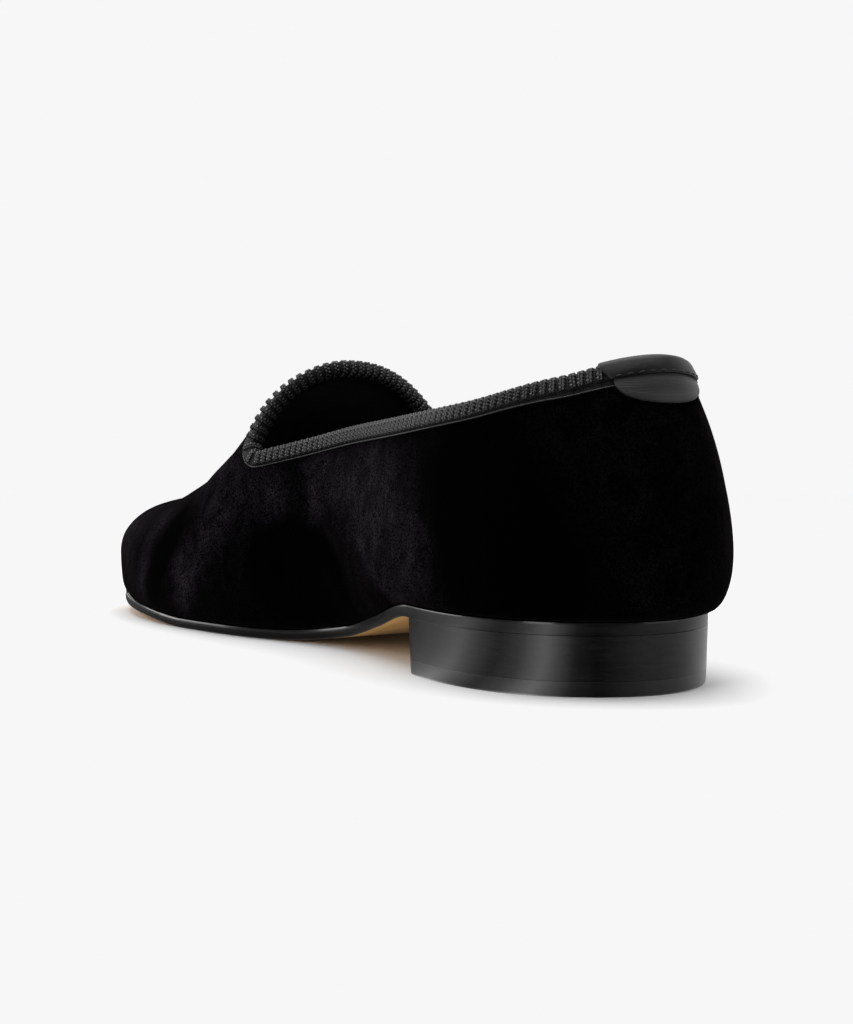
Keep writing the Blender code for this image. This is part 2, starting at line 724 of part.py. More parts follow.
def main():
    for old in list(bpy.data.objects):
        bpy.data.objects.remove(old)
    velvet = finish_of("velvet", (0.010, 0.009, 0.011), 0.9, 0.6)
    ribbon = finish_of("grosgrain", (0.018, 0.017, 0.017), 0.65)
    leather = finish_of("tab_leather", (0.030, 0.029, 0.031), 0.5)
    sole_leather = finish_of("sole_leather", (0.025, 0.023, 0.023), 0.35)
    heel_leather = finish_of("heel_leather", (0.022, 0.020, 0.020), 0.3)
    rubber = finish_of("rubber", (0.018, 0.018, 0.018), 0.5)
    lining = finish_of("insole_leather", (0.020, 0.019, 0.019), 0.6)
    outline = last_outline()
    surface = last_surface(outline)
    path = topline_path(outline)
    parts = [
        make_outsole(outline, sole_leather),
        *make_heel(outline, heel_leather, rubber),
        make_upper(outline, velvet),
        make_insole(outline, lining),
        make_binding(path, surface, ribbon),
        make_heel_tab(path, surface, leather),
        make_heel_patch(path, surface, leather),
    ]
    stand_on_origin(parts)


main()
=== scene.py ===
# Velvet slipper for the right foot, with its ribbed binding, leather heel tab, leather sole and stacked heel
import math
from collections import namedtuple

import bmesh
import bpy
import numpy as np
from mathutils import Matrix, Vector, noise
from mathutils.bvhtree import BVHTree


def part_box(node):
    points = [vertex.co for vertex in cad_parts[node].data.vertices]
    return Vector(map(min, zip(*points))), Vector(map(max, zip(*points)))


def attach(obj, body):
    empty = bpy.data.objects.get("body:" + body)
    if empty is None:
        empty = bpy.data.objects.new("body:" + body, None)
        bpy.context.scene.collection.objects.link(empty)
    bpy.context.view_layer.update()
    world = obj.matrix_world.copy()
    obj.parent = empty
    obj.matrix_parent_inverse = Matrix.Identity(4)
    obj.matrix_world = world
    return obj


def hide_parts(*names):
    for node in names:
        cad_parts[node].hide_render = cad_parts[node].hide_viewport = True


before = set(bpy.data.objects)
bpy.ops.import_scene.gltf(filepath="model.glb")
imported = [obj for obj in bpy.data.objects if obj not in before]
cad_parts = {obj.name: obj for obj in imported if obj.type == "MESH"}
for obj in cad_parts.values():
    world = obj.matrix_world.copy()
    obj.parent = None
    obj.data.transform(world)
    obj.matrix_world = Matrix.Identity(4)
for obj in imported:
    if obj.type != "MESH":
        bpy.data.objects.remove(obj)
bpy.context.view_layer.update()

mm = 0.001
print("frame loaded:", ", ".join(sorted(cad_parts)))

# The last that the shoe is made on: the same named sizes and tables as the solids
lastForm = {
    "length": 285 * mm,
    "ballWidth": 96.5 * mm,
    "heelHeight": 15.0 * mm,  # without the sole over it
    "toeSpring": 6.0 * mm,
    "instepHeight": 80.3 * mm,  # this and the next three are above the sole line
    "toeHeight": 34.6 * mm,
    "backHeight": 63.1 * mm,
    "notchHeight": 52.3 * mm,  # the topline's lowest place, where it turns up into the tongue
    "overhang": 6.0 * mm,  # how far the side bulges out past the sole line
    "fullest": 15.5 * mm,  # height of that bulge
    "tongueLean": 10.3 * mm,  # how far the tongue's top leans back
    "notchRadius": 5.0 * mm,
    "tuckRoundness": 2.3,
    "tuckShare": 0.22,  # share of a rib's points below the bulge
    "soleThickness": 3.1 * mm,
    "soleEdge": 2.0 * mm,
    "gap": 0.3 * mm,  # between pieces that lie on each other
    "heelCentre": 0.119,  # shares of the length: the ribs fan out behind this one and before the next
    "toeCentre": 0.852,
    "centreBlend": 0.042,
    "throat": 0.574,
    "breast": 0.231,
    "outlineSamples": 2400,
}

# One row for each rib, round the sole line: shares of length, ball width, overhang, fullest, sole edge
ribRow = namedtuple("ribRow", "along across overhang fullest edge")
ribTable = (
    ribRow(0.004, 0.000, 1.35, 1.00, 0.00),
    ribRow(0.038, 0.219, 1.20, 1.00, 0.30),
    ribRow(0.100, 0.324, 0.88, 1.00, 0.65),
    ribRow(0.200, 0.345, 0.68, 1.00, 0.65),
    ribRow(0.320, 0.276, 0.90, 1.05, 0.50),
    ribRow(0.450, 0.218, 1.15, 1.10, 0.40),
    ribRow(0.580, 0.325, 0.90, 0.95, 0.45),
    ribRow(0.700, 0.386, 0.68, 0.80, 0.55),
    ribRow(0.800, 0.391, 0.58, 0.80, 0.70),
    ribRow(0.900, 0.322, 0.58, 0.80, 0.90),
    ribRow(0.965, 0.208, 0.48, 0.80, 1.00),
    ribRow(0.992, 0.040, 0.48, 0.80, 1.00),
    ribRow(0.965, -0.148, 0.48, 0.80, 1.00),
    ribRow(0.900, -0.325, 0.58, 0.80, 0.90),
    ribRow(0.800, -0.436, 0.58, 0.80, 0.70),
    ribRow(0.680, -0.500, 0.68, 0.85, 0.55),
    ribRow(0.560, -0.472, 0.78, 0.90, 0.45),
    ribRow(0.440, -0.390, 0.78, 0.90, 0.40),
    ribRow(0.320, -0.342, 0.78, 1.00, 0.50),
    ribRow(0.200, -0.350, 0.72, 1.00, 0.65),
    ribRow(0.100, -0.318, 0.88, 1.00, 0.65),
    ribRow(0.038, -0.208, 1.20, 1.00, 0.30),
)
# Underside of the sole: shares of heelHeight and toeSpring
treadRow = namedtuple("treadRow", "along heel spring")
treadTable = (
    treadRow(0.000, 1.00, 0.00),
    treadRow(0.240, 1.00, 0.00),
    treadRow(0.340, 0.62, 0.00),
    treadRow(0.440, 0.21, 0.00),
    treadRow(0.530, 0.02, 0.00),
    treadRow(0.570, 0.00, 0.00),
    treadRow(0.700, 0.00, 0.00),
    treadRow(0.800, 0.00, 0.31),
    treadRow(0.900, 0.00, 0.56),
    treadRow(1.000, 0.00, 1.00),
)
# The ridge over the foot: height is 0 at toeHeight and 1 at instepHeight
ridgeRow = namedtuple("ridgeRow", "along height across squareness lean")
ridgeTable = (
    ridgeRow(0.000, 0.970, 0.000, 2.40, 0.00),
    ridgeRow(0.040, 0.972, 0.000, 1.78, 0.00),
    ridgeRow(0.100, 0.975, 0.000, 1.75, 0.00),
    ridgeRow(0.200, 0.980, 0.000, 1.97, 0.00),
    ridgeRow(0.300, 1.070, 0.012, 1.95, 0.00),
    ridgeRow(0.400, 1.160, 0.022, 2.00, 0.25),
    ridgeRow(0.574, 1.000, 0.024, 2.13, 1.00),
    ridgeRow(0.640, 0.655, 0.016, 2.20, 0.70),
    ridgeRow(0.740, 0.247, 0.003, 2.32, 0.06),
    ridgeRow(0.840, 0.000, 0.014, 2.38, 0.00),
    ridgeRow(1.000, -0.030, 0.050, 2.20, 0.00),
)
# The velvet's edge: height is 0 at the notch and 1 at the back
toplineRow = namedtuple("toplineRow", "along height")
toplineTable = (
    toplineRow(0.000, 1.00),
    toplineRow(0.040, 0.83),
    toplineRow(0.070, 0.76),
    toplineRow(0.100, 0.69),
    toplineRow(0.150, 0.58),
    toplineRow(0.250, 0.45),
    toplineRow(0.400, 0.31),
    toplineRow(0.574, 0.00),
)


def smoothStep(value):
    value = np.clip(value, 0, 1)
    return value * value * (3 - 2 * value)


def through(rows, column, along):
    # a smooth curve through one column of a table, with no overshoot between its rows
    x = np.array([row.along for row in rows]) * lastForm["length"]
    y = np.array([getattr(row, column) for row in rows])
    width = np.diff(x)
    slope = np.diff(y) / width
    tangent = np.concatenate([[slope[0]], np.zeros(len(y) - 2), [slope[-1]]])
    for i in range(1, len(y) - 1):
        if slope[i - 1] * slope[i] > 0:
            before = 2 * width[i] + width[i - 1]
            after = width[i] + 2 * width[i - 1]
            tangent[i] = (before + after) / (before / slope[i - 1] + after / slope[i])
    along = np.clip(along, x[0], x[-1])
    k = np.clip(np.searchsorted(x, along, side="right") - 1, 0, len(width) - 1)
    t = (along - x[k]) / width[k]
    start = (2 * t**3 - 3 * t**2 + 1) * y[k] + (t**3 - 2 * t**2 + t) * width[k] * tangent[k]
    return start + (3 * t**2 - 2 * t**3) * y[k + 1] + (t**3 - t**2) * width[k] * tangent[k + 1]


def closedCurve(points, count):
    # a closed cubic spline through the rows, spaced by their distance in plan
    steps = np.linalg.norm(np.roll(points[:, :2], -1, 0) - points[:, :2], axis=1)
    knots = np.concatenate([[0], np.cumsum(steps)])
    size = len(points)
    system = np.zeros((size, size))
    right = np.zeros(points.shape)
    for i in range(size):
        before, after = (i - 1) % size, (i + 1) % size
        system[i, before] += steps[before]
        system[i, i] += 2 * (steps[before] + steps[i])
        system[i, after] += steps[i]
        right[i] = 6 * ((points[after] - points[i]) / steps[i] - (points[i] - points[before]) / steps[before])
    bend = np.linalg.solve(system, right)
    at = np.arange(count) / count * knots[-1]
    k = np.searchsorted(knots, at, side="right") - 1
    after = (k + 1) % size
    x = (at - knots[k])[:, None]
    step = steps[k][:, None]
    slope = (points[after] - points[k]) / step - step * (2 * bend[k] + bend[after]) / 6
    return points[k] + slope * x + bend[k] / 2 * x**2 + (bend[after] - bend[k]) / (6 * step) * x**3


def movedOutline(outline, distance):
    # the outline pushed outwards in plan
    ahead = np.roll(outline[:, :2], -1, 0) - np.roll(outline[:, :2], 1, 0)
    outwards = np.stack([-ahead[:, 1], ahead[:, 0]], 1)
    outwards /= np.linalg.norm(outwards, axis=1)[:, None]
    moved = outline.copy()
    moved[:, :2] += outwards * np.broadcast_to(distance, len(outline))[:, None]
    return moved


def sidesOf(outline):
    # the heel's last point, the toe's first one, and each side's rows from heel to toe
    turned = np.roll(outline, -int(np.argmin(outline[:, 0])), 0)
    toe = int(np.argmax(turned[:, 0]))
    outer = np.concatenate([turned[toe:], turned[:1]])[::-1]
    return turned[0], turned[toe], turned[: toe + 1], outer


def rowsAt(side, stations):
    return np.stack([np.interp(stations, side[:, 0], side[:, c]) for c in range(side.shape[1])], 1)


def loopOf(outline, stations):
    # rows round an outline: heel point, inner side, toe point, and back along the outer side
    heel, toe, inner, outer = sidesOf(outline)
    return np.concatenate([[heel], rowsAt(inner, stations), [toe], rowsAt(outer, stations)[::-1]])


def towardsEnd(end, start, count):
    turn = np.arange(1, count + 1) / count * math.pi / 2
    return end + (start - end) * (1 - np.cos(turn))


def endsAndMiddle(first, start, middle, stop, last, count):
    return np.concatenate([towardsEnd(first, start, count), middle, towardsEnd(last, stop, count)[::-1]])


def treadHeight(along):
    heel = through(treadTable, "heel", along) * lastForm["heelHeight"]
    return heel + through(treadTable, "spring", along) * lastForm["toeSpring"]


def soleLine(along):
    return treadHeight(along) + lastForm["soleThickness"] + lastForm["gap"]


def centreStation(along):
    # where on the ridge a rib ends: straight across, then fanned round the heel and the toe
    blend = lastForm["centreBlend"] * lastForm["length"]
    heel = lastForm["heelCentre"] * lastForm["length"]
    toe = lastForm["toeCentre"] * lastForm["length"]
    bent = heel + (np.clip(along - heel, -blend, blend) + blend) ** 2 / (4 * blend)
    along = np.where(along < heel + blend, bent, along)
    bent = toe - (blend - np.clip(along - toe, -blend, blend)) ** 2 / (4 * blend)
    return np.where(along > toe - blend, bent, along)


def ridgeHeight(along):
    rise = lastForm["instepHeight"] - lastForm["toeHeight"]
    return soleLine(along) + lastForm["toeHeight"] + through(ridgeTable, "height", along) * rise


def toplineHeight(along):
    # the velvet's edge, with the round corner where it turns up into the tongue
    throat = np.array(lastForm["throat"] * lastForm["length"])
    notch = soleLine(throat) + lastForm["notchHeight"]
    back = soleLine(np.array(0.0)) + lastForm["backHeight"]
    plain = notch + through(toplineTable, "height", along) * (back - notch)
    radius = lastForm["notchRadius"]
    run = np.clip(along - (throat - radius), 0, radius)
    return plain + radius - np.sqrt(radius**2 - run**2)


def lastPoints(rows, share=None, height=None):
    # points of the last on the ribs that start at these rows, by share of a rib's way or by height
    along, across, overhang, fullest = (rows[:, c : c + 1] for c in range(4))
    centre = centreStation(along)
    centreAcross = through(ridgeTable, "across", centre) * lastForm["ballWidth"]
    base = soleLine(along)
    rise = ridgeHeight(centre) - base
    power = through(ridgeTable, "squareness", along)
    reach = np.hypot(centre - along, centreAcross - across)
    if height is None:
        tuck = lastForm["tuckShare"]
        turn = np.clip((share - tuck) / (1 - tuck), 0, 1) * math.pi / 2
        low = fullest * np.clip(share / tuck, 0, 1) ** 1.5
        up = np.where(share < tuck, low, fullest + (rise - fullest) * np.sin(turn) ** (2 / power))
    else:
        up = height - base
    roundness = lastForm["tuckRoundness"]
    under = np.clip(1 - up / fullest, 0, 1)
    over = np.clip((up - fullest) / (rise - fullest), 0, 1)
    out = overhang * (1 - under**roundness) ** (1 / roundness)
    inwards = (reach + overhang) * (1 - (1 - over**power) ** (1 / power)) - overhang
    part = np.where(up < fullest, -out, inwards) / reach
    lean = through(ridgeTable, "lean", along) * lastForm["tongueLean"]
    lean = lean * np.sin(np.clip(part, 0, 1) * math.pi / 2) ** 2
    x = along + (centre - along) * part - lean
    y = across + (centreAcross - across) * part
    return np.stack([x, y, base + up], -1)


def shareAt(rows, height):
    shares = np.linspace(0, 1, 801)
    heights = lastPoints(rows, share=shares[None, :])[:, :, 2]
    return np.array([np.interp(height[i], heights[i], shares) for i in range(len(rows))])


ribScale = np.array([lastForm[key] for key in ("length", "ballWidth", "overhang", "fullest", "soleEdge")])
soleOutline = closedCurve(np.array(ribTable) * ribScale, lastForm["outlineSamples"])
soleEdgeLine = movedOutline(soleOutline, soleOutline[:, 4])
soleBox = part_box("outsole")
frameShift = np.array([soleBox[0][0] - soleEdgeLine[:, 0].min(), soleBox[1][1] - soleEdgeLine[:, 1].max(), 0])


def gridFaces(first, across, along, wrapped=False):
    j, k = np.meshgrid(np.arange(along if wrapped else along - 1), np.arange(across - 1), indexing="ij")
    a = first + j * across + k
    b = first + (j + 1) % along * across + k
    return np.stack([a, b, b + 1, a + 1], -1).reshape(-1, 4).tolist()


def newPiece(name, points, faces, materials, slots=None, merge=0.02 * mm):
    # a piece in the frame's own place, with doubled points joined and its faces turned outwards
    mesh = bpy.data.meshes.new(name)
    mesh.from_pydata((np.asarray(points) + frameShift).tolist(), [], faces)
    for material in materials:
        mesh.materials.append(material)
    if slots is not None:
        mesh.polygons.foreach_set("material_index", slots)
    work = bmesh.new()
    work.from_mesh(mesh)
    if merge:
        bmesh.ops.remove_doubles(work, verts=work.verts, dist=merge)
    bmesh.ops.recalc_face_normals(work, faces=work.faces)
    work.to_mesh(mesh)
    work.free()
    mesh.shade_smooth()
    piece = bpy.data.objects.new(name, mesh)
    bpy.context.scene.collection.objects.link(piece)
    return piece


def applyModifiers(piece):
    # the evaluated shape becomes the piece's plain mesh
    bpy.context.view_layer.update()
    graph = bpy.context.evaluated_depsgraph_get()
    mesh = bpy.data.meshes.new_from_object(piece.evaluated_get(graph), depsgraph=graph)
    mesh.name = piece.name
    piece.modifiers.clear()
    piece.data = mesh


def finishPiece(piece, nodes=(), sharp=40):
    piece.data.set_sharp_from_angle(angle=math.radians(sharp))
    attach(piece, "root")
    if nodes:
        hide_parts(*nodes)
    print("piece", piece.name, len(piece.data.polygons), "faces")


# Each finish is a Principled material with its own small node tree
def fromHex(colour):
    # sRGB hex to the linear values that Blender's sockets take
    parts = [int(colour[i : i + 2], 16) / 255 for i in (1, 3, 5)]
    return tuple(p / 12.92 if p <= 0.04045 else ((p + 0.055) / 1.055) ** 2.4 for p in parts) + (1.0,)


def addNode(tree, kind, settings=None, links=None):
    # one node: a setting is an input's value where the name is an input's, and otherwise a property
    node = tree.nodes.new(kind)
    for key, value in (settings or {}).items():
        if key in node.inputs.keys() or isinstance(key, int):
            node.inputs[key].default_value = value
        else:
            setattr(node, key, value)
    for key, socket in (links or {}).items():
        tree.links.new(socket, node.inputs[key])
    return node


def newFinish(name, colour, **values):
    # a Principled material, its node tree and its shader; colour is sRGB hex
    made = bpy.data.materials.new(name)
    made.use_nodes = True
    tree = made.node_tree
    shader = tree.nodes["Principled BSDF"]
    shader.inputs["Base Color"].default_value = fromHex(colour)
    for key, value in values.items():
        shader.inputs[key.replace("_", " ")].default_value = value
    return made, tree, shader


def mottle(tree, shader, coords, size, dark, light, low=0.35, high=0.65, detail=4.0):
    # slow change between two tones, patches about as wide as size
    cloud = addNode(tree, "ShaderNodeTexNoise", {"Scale": 1 / size, "Detail": detail}, {"Vector": coords})
    share = addNode(
        tree, "ShaderNodeMapRange", {"From Min": low, "From Max": high}, {"Value": cloud.outputs["Fac"]}
    )
    mixed = addNode(
        tree, "ShaderNodeMix", {"data_type": "RGBA", 6: fromHex(dark), 7: fromHex(light)},
        {0: share.outputs["Result"]},
    )
    tree.links.new(mixed.outputs[2], shader.inputs["Base Color"])


def relief(tree, shader, height, depth, below=None):
    # fine relief as deep as depth, over the relief below it
    bump = addNode(tree, "ShaderNodeBump", {"Strength": 1.0, "Distance": depth}, {"Height": height})
    if below is not None:
        tree.links.new(below, bump.inputs["Normal"])
    tree.links.new(bump.outputs["Normal"], shader.inputs["Normal"])
    return bump.outputs["Normal"]


def objectCoords(tree, scale=(1, 1, 1)):
    place = addNode(tree, "ShaderNodeTexCoord")
    mapping = addNode(tree, "ShaderNodeMapping", {"Scale": scale}, {"Vector": place.outputs["Object"]})
    return mapping.outputs["Vector"]


velvetLook = {
    "deep": "#010101",  # face-on, where the pile swallows the light
    "sheenColour": "#29252a",  # the lighter colour: a little of it is the velvet's faint tone, more of it is painted sheen
    "cloudPatch": 7 * mm,  # size of the clouds that break up the painted sheen, and of the soft relief
    "pile": 0.5 * mm,  # tufts, drawn coarser than real ones so that they show
    "pileDepth": 0.10 * mm,
    "sheen": 0.026,
    "plainShare": 0.14,  # share of the lighter colour where the table has no row, the velvet's faint tone
}


def velvetFinish():
    # cotton velvet, woven and cut: short upright pile, black face-on, a faint grey sheen where it turns
    made, tree, shader = newFinish(
        "cottonVelvet", velvetLook["deep"], Roughness=1.0, Specular_IOR_Level=0.0,
        Sheen_Weight=velvetLook["sheen"], Sheen_Roughness=0.32, Sheen_Tint=fromHex("#b5aaac"),
    )
    coords = objectCoords(tree)
    # painted sheen and painted shade: the share of the lighter colour kept on the upper's points
    nap = addNode(tree, "ShaderNodeAttribute", {"attribute_name": "nap"})
    cloudNoise = addNode(
        tree, "ShaderNodeTexNoise",
        {"Scale": 1 / velvetLook["cloudPatch"], "Detail": 7.0, "Roughness": 0.6, "Distortion": 0.8},
        {"Vector": objectCoords(tree, (1.1, 1.0, 0.8))},
    )
    cloudPatch = addNode(
        tree, "ShaderNodeMapRange", {"From Min": 0.34, "From Max": 0.66, "To Min": 0.25},
        {"Value": cloudNoise.outputs["Fac"]},
    )
    pile = addNode(
        tree, "ShaderNodeTexNoise", {"Scale": 1 / velvetLook["pile"], "Detail": 2.0}, {"Vector": coords}
    )
    speck = addNode(
        tree, "ShaderNodeMapRange", {"From Min": 0.38, "From Max": 0.66}, {"Value": pile.outputs["Fac"]}
    )
    part = addNode(
        tree, "ShaderNodeMath", {"operation": "MULTIPLY"}, {0: nap.outputs["Fac"], 1: cloudPatch.outputs["Result"]}
    )
    share = addNode(
        tree, "ShaderNodeMath", {"operation": "MULTIPLY"}, {0: part.outputs[0], 1: speck.outputs["Result"]}
    )
    # the velvet's black mixed towards the lighter colour: its faint tone, painted sheen and painted shade
    mixed = addNode(
        tree, "ShaderNodeMix",
        {"data_type": "RGBA", 6: fromHex(velvetLook["deep"]), 7: fromHex(velvetLook["sheenColour"])},
        {0: share.outputs[0]},
    )
    tree.links.new(mixed.outputs[2], shader.inputs["Base Color"])
    soft = relief(tree, shader, cloudNoise.outputs["Fac"], 0.4 * mm)
    relief(tree, shader, pile.outputs["Fac"], velvetLook["pileDepth"], soft)
    return made


def grainedLeather(name, dark, light, roughness, grain, depth, lined=(1, 1, 1), shine=0.5):
    # calf leather, dyed and pressed: a shallow grain, slightly waxy
    made, tree, shader = newFinish(name, dark, Roughness=roughness, Specular_IOR_Level=shine)
    coords = objectCoords(tree, lined)
    mottle(tree, shader, coords, 6 * mm, dark, light)
    cells = addNode(tree, "ShaderNodeTexVoronoi", {"Scale": 1 / grain, "feature": "F1"}, {"Vector": coords})
    pores = relief(tree, shader, cells.outputs["Distance"], depth)
    wrinkle = addNode(
        tree, "ShaderNodeTexNoise", {"Scale": 1 / (3 * grain), "Detail": 5.0}, {"Vector": coords}
    )
    relief(tree, shader, wrinkle.outputs["Fac"], depth * 1.5, pores)
    gloss = addNode(
        tree, "ShaderNodeMapRange", {"To Min": roughness - 0.07, "To Max": roughness + 0.1},
        {"Value": wrinkle.outputs["Fac"]},
    )
    tree.links.new(gloss.outputs["Result"], shader.inputs["Roughness"])
    return made


def ribbonFinish(name, dark, light, roughness, shine):
    # rayon grosgrain: a fine shiny warp over thick cotton cords, its threads drawn coarse enough to show
    made, tree, shader = newFinish(name, dark, Roughness=roughness, Specular_IOR_Level=shine)
    ribbonUv = addNode(tree, "ShaderNodeUVMap", {"uv_map": "ribbonUv"})
    mottle(tree, shader, objectCoords(tree), 1.6 * mm, dark, light, 0.3, 0.7, 3.0)
    threads = addNode(
        tree, "ShaderNodeMapping", {"Scale": (1 / (0.42 * mm), 1 / (0.42 * mm), 1)},
        {"Vector": ribbonUv.outputs["UV"]},
    )
    weave = addNode(
        tree, "ShaderNodeTexVoronoi", {"Scale": 1.0, "Randomness": 0.25}, {"Vector": threads.outputs[0]}
    )
    woven = relief(tree, shader, weave.outputs["Distance"], 0.16 * mm)
    fibres = addNode(
        tree, "ShaderNodeTexNoise", {"Scale": 1 / (0.22 * mm), "Detail": 2.0}, {"Vector": objectCoords(tree)}
    )
    relief(tree, shader, fibres.outputs["Fac"], 0.08 * mm, woven)
    return made


def polishedHeelFinish(name, roughness, line, depth, coat):
    # built leather, sanded, inked black and waxed: fine level lines where the layers' edges show
    made, tree, shader = newFinish(
        name, "#0a0808", Roughness=roughness, Coat_Weight=coat, Coat_Roughness=0.15,
        Specular_IOR_Level=0.12,
    )
    layers = addNode(
        tree, "ShaderNodeTexNoise", {"Scale": 1.0, "Detail": 4.0, "Roughness": 0.62},
        {"Vector": objectCoords(tree, (30.0, 30.0, 1 / line))},
    )
    mottle(tree, shader, objectCoords(tree, (0.4, 0.4, 3.0)), 3 * mm, "#070505", "#12100f")
    levels = relief(tree, shader, layers.outputs["Fac"], depth)
    scuffs = addNode(
        tree, "ShaderNodeTexNoise", {"Scale": 1 / (5 * mm), "Detail": 6.0}, {"Vector": objectCoords(tree)}
    )
    relief(tree, shader, scuffs.outputs["Fac"], 0.04 * mm, levels)
    gloss = addNode(
        tree, "ShaderNodeMapRange", {"To Min": roughness - 0.06, "To Max": roughness + 0.12},
        {"Value": layers.outputs["Fac"]},
    )
    tree.links.new(gloss.outputs["Result"], shader.inputs["Roughness"])
    return made


def treadFinish():
    # oak-bark sole leather, left natural and lightly glazed
    made, tree, shader = newFinish("naturalSoleLeather", "#e0ac60", Roughness=0.5, Specular_IOR_Level=0.25)
    mottle(tree, shader, objectCoords(tree, (0.6, 1, 1)), 14 * mm, "#d79f50", "#eec47c", 0.3, 0.7, 8.0)
    fibres = addNode(
        tree, "ShaderNodeTexNoise", {"Scale": 1 / (0.6 * mm), "Detail": 4.0},
        {"Vector": objectCoords(tree, (0.5, 1, 1))},
    )
    relief(tree, shader, fibres.outputs["Fac"], 0.05 * mm)
    return made


def rubberFinish():
    # moulded rubber, trimmed and polished with the heel: black, a softer gloss than the leather above it
    made, tree, shader = newFinish(
        "mouldedRubber", "#0b0a0a", Roughness=0.3, Coat_Weight=0.6, Coat_Roughness=0.2
    )
    layers = addNode(
        tree, "ShaderNodeTexNoise", {"Scale": 1.0, "Detail": 3.0},
        {"Vector": objectCoords(tree, (30.0, 30.0, 1 / (0.9 * mm)))},
    )
    relief(tree, shader, layers.outputs["Fac"], 0.05 * mm)
    mottle(tree, shader, objectCoords(tree), 1.2 * mm, "#0b0a0a", "#151414")
    return made


def threadFinish():
    # linen thread, twisted and waxed: nearly black, a dull spot of light on each stitch
    made, tree, shader = newFinish("waxedThread", "#080808", Roughness=0.5)
    coords = objectCoords(tree)
    mottle(tree, shader, coords, 0.8 * mm, "#060606", "#0d0c0c", 0.3, 0.7, 3.0)
    plies = addNode(
        tree, "ShaderNodeTexNoise", {"Scale": 1 / (0.25 * mm), "Detail": 2.0}, {"Vector": coords}
    )
    relief(tree, shader, plies.outputs["Fac"], 0.04 * mm)
    return made


velvet = velvetFinish()
# painted light and painted shade: a lighter copy of the weave on the ribs, a darker copy between them
litRibbon = ribbonFinish("rayonGrosgrain", "#050404", "#161413", 0.34, 0.42)
shadedRibbonGround = ribbonFinish("rayonGround", "#020202", "#0b0a0a", 0.55, 0.15)
# a smooth black band, and under it a brushed half-moon that looks grey, with fine level lines
tabLeather = grainedLeather("smoothCalf", "#0b0a0b", "#131213", 0.40, 0.55 * mm, 0.02 * mm, shine=0.22)
patchLeather = grainedLeather(
    "brushedCalf", "#1b1a1b", "#302e30", 0.44, 0.7 * mm, 0.04 * mm, (0.15, 0.15, 2.2), 0.35
)
# a dull black inside, with a slightly shinier sock
liningLeather = grainedLeather("liningCalf", "#060505", "#0c0b0b", 0.62, 0.6 * mm, 0.04 * mm, shine=0.3)
sockLeather = grainedLeather("sockCalf", "#0b0a0a", "#141212", 0.5, 0.6 * mm, 0.04 * mm, shine=0.4)
# the heel mirrors the room in soft upright bands, the sole's edge a little less
heelLeather = polishedHeelFinish("waxedHeelLeather", 0.28, 0.35 * mm, 0.012 * mm, 1.0)
edgeLeather = polishedHeelFinish("burnishedEdge", 0.32, 0.5 * mm, 0.012 * mm, 0.8)
treadLeather = treadFinish()
topRubber = rubberFinish()
thread = threadFinish()
print("finishes made")

# The velvet upper: outer face in velvet, inner face in lining leather, edge under the binding
upperForm = {
    "wall": 2.0 * mm,
    "margin": 7.0 * mm,
    "heelRibs": 34,
    "quarterRibs": 64,
    "cornerRibs": 12,
    "vampRibs": 56,
    "toeRibs": 22,
    "lowerRows": 44,  # rows of faces up to the topline's height, and in front the ones above it
    "upperRows": 40,
    "frontSplit": 0.56,  # where the two meet on a rib at the toe
    "splitBlend": 0.12,
    "unevenness": 0.35 * mm,  # slow waves in the velvet, and smaller ripples on them
    "unevenSize": 26 * mm,
    "rippleShare": 0.35,
    "rippleSize": 9 * mm,
}

# Soft folds of the velvet, from one place to another: rib along the sole line, way up the rib, side
foldRow = namedtuple("foldRow", "fromAlong fromWay toAlong toWay side width depth")
foldTable = (
    foldRow(0.900, 0.70, 0.845, 0.16, 1, 3.2 * mm, 0.85 * mm),
    foldRow(0.940, 0.62, 0.900, 0.14, 1, 3.0 * mm, 0.55 * mm),
    foldRow(0.800, 0.74, 0.770, 0.22, 1, 4.5 * mm, 0.60 * mm),
    foldRow(0.700, 0.80, 0.690, 0.40, 1, 5.0 * mm, 0.40 * mm),
    foldRow(0.600, 0.52, 0.575, 0.24, 1, 4.0 * mm, 0.45 * mm),
    foldRow(0.530, 0.44, 0.500, 0.20, 1, 3.5 * mm, 0.40 * mm),
    foldRow(0.470, 0.36, 0.360, 0.04, 1, 3.0 * mm, 0.60 * mm),
    foldRow(0.430, 0.28, 0.330, 0.03, 1, 2.4 * mm, 0.40 * mm),
    foldRow(0.880, 0.68, 0.840, 0.16, -1, 3.4 * mm, 0.70 * mm),
    foldRow(0.780, 0.74, 0.740, 0.20, -1, 4.5 * mm, 0.50 * mm),
    foldRow(0.620, 0.50, 0.560, 0.18, -1, 4.2 * mm, 0.45 * mm),
    foldRow(0.450, 0.34, 0.370, 0.05, -1, 3.2 * mm, 0.45 * mm),
)
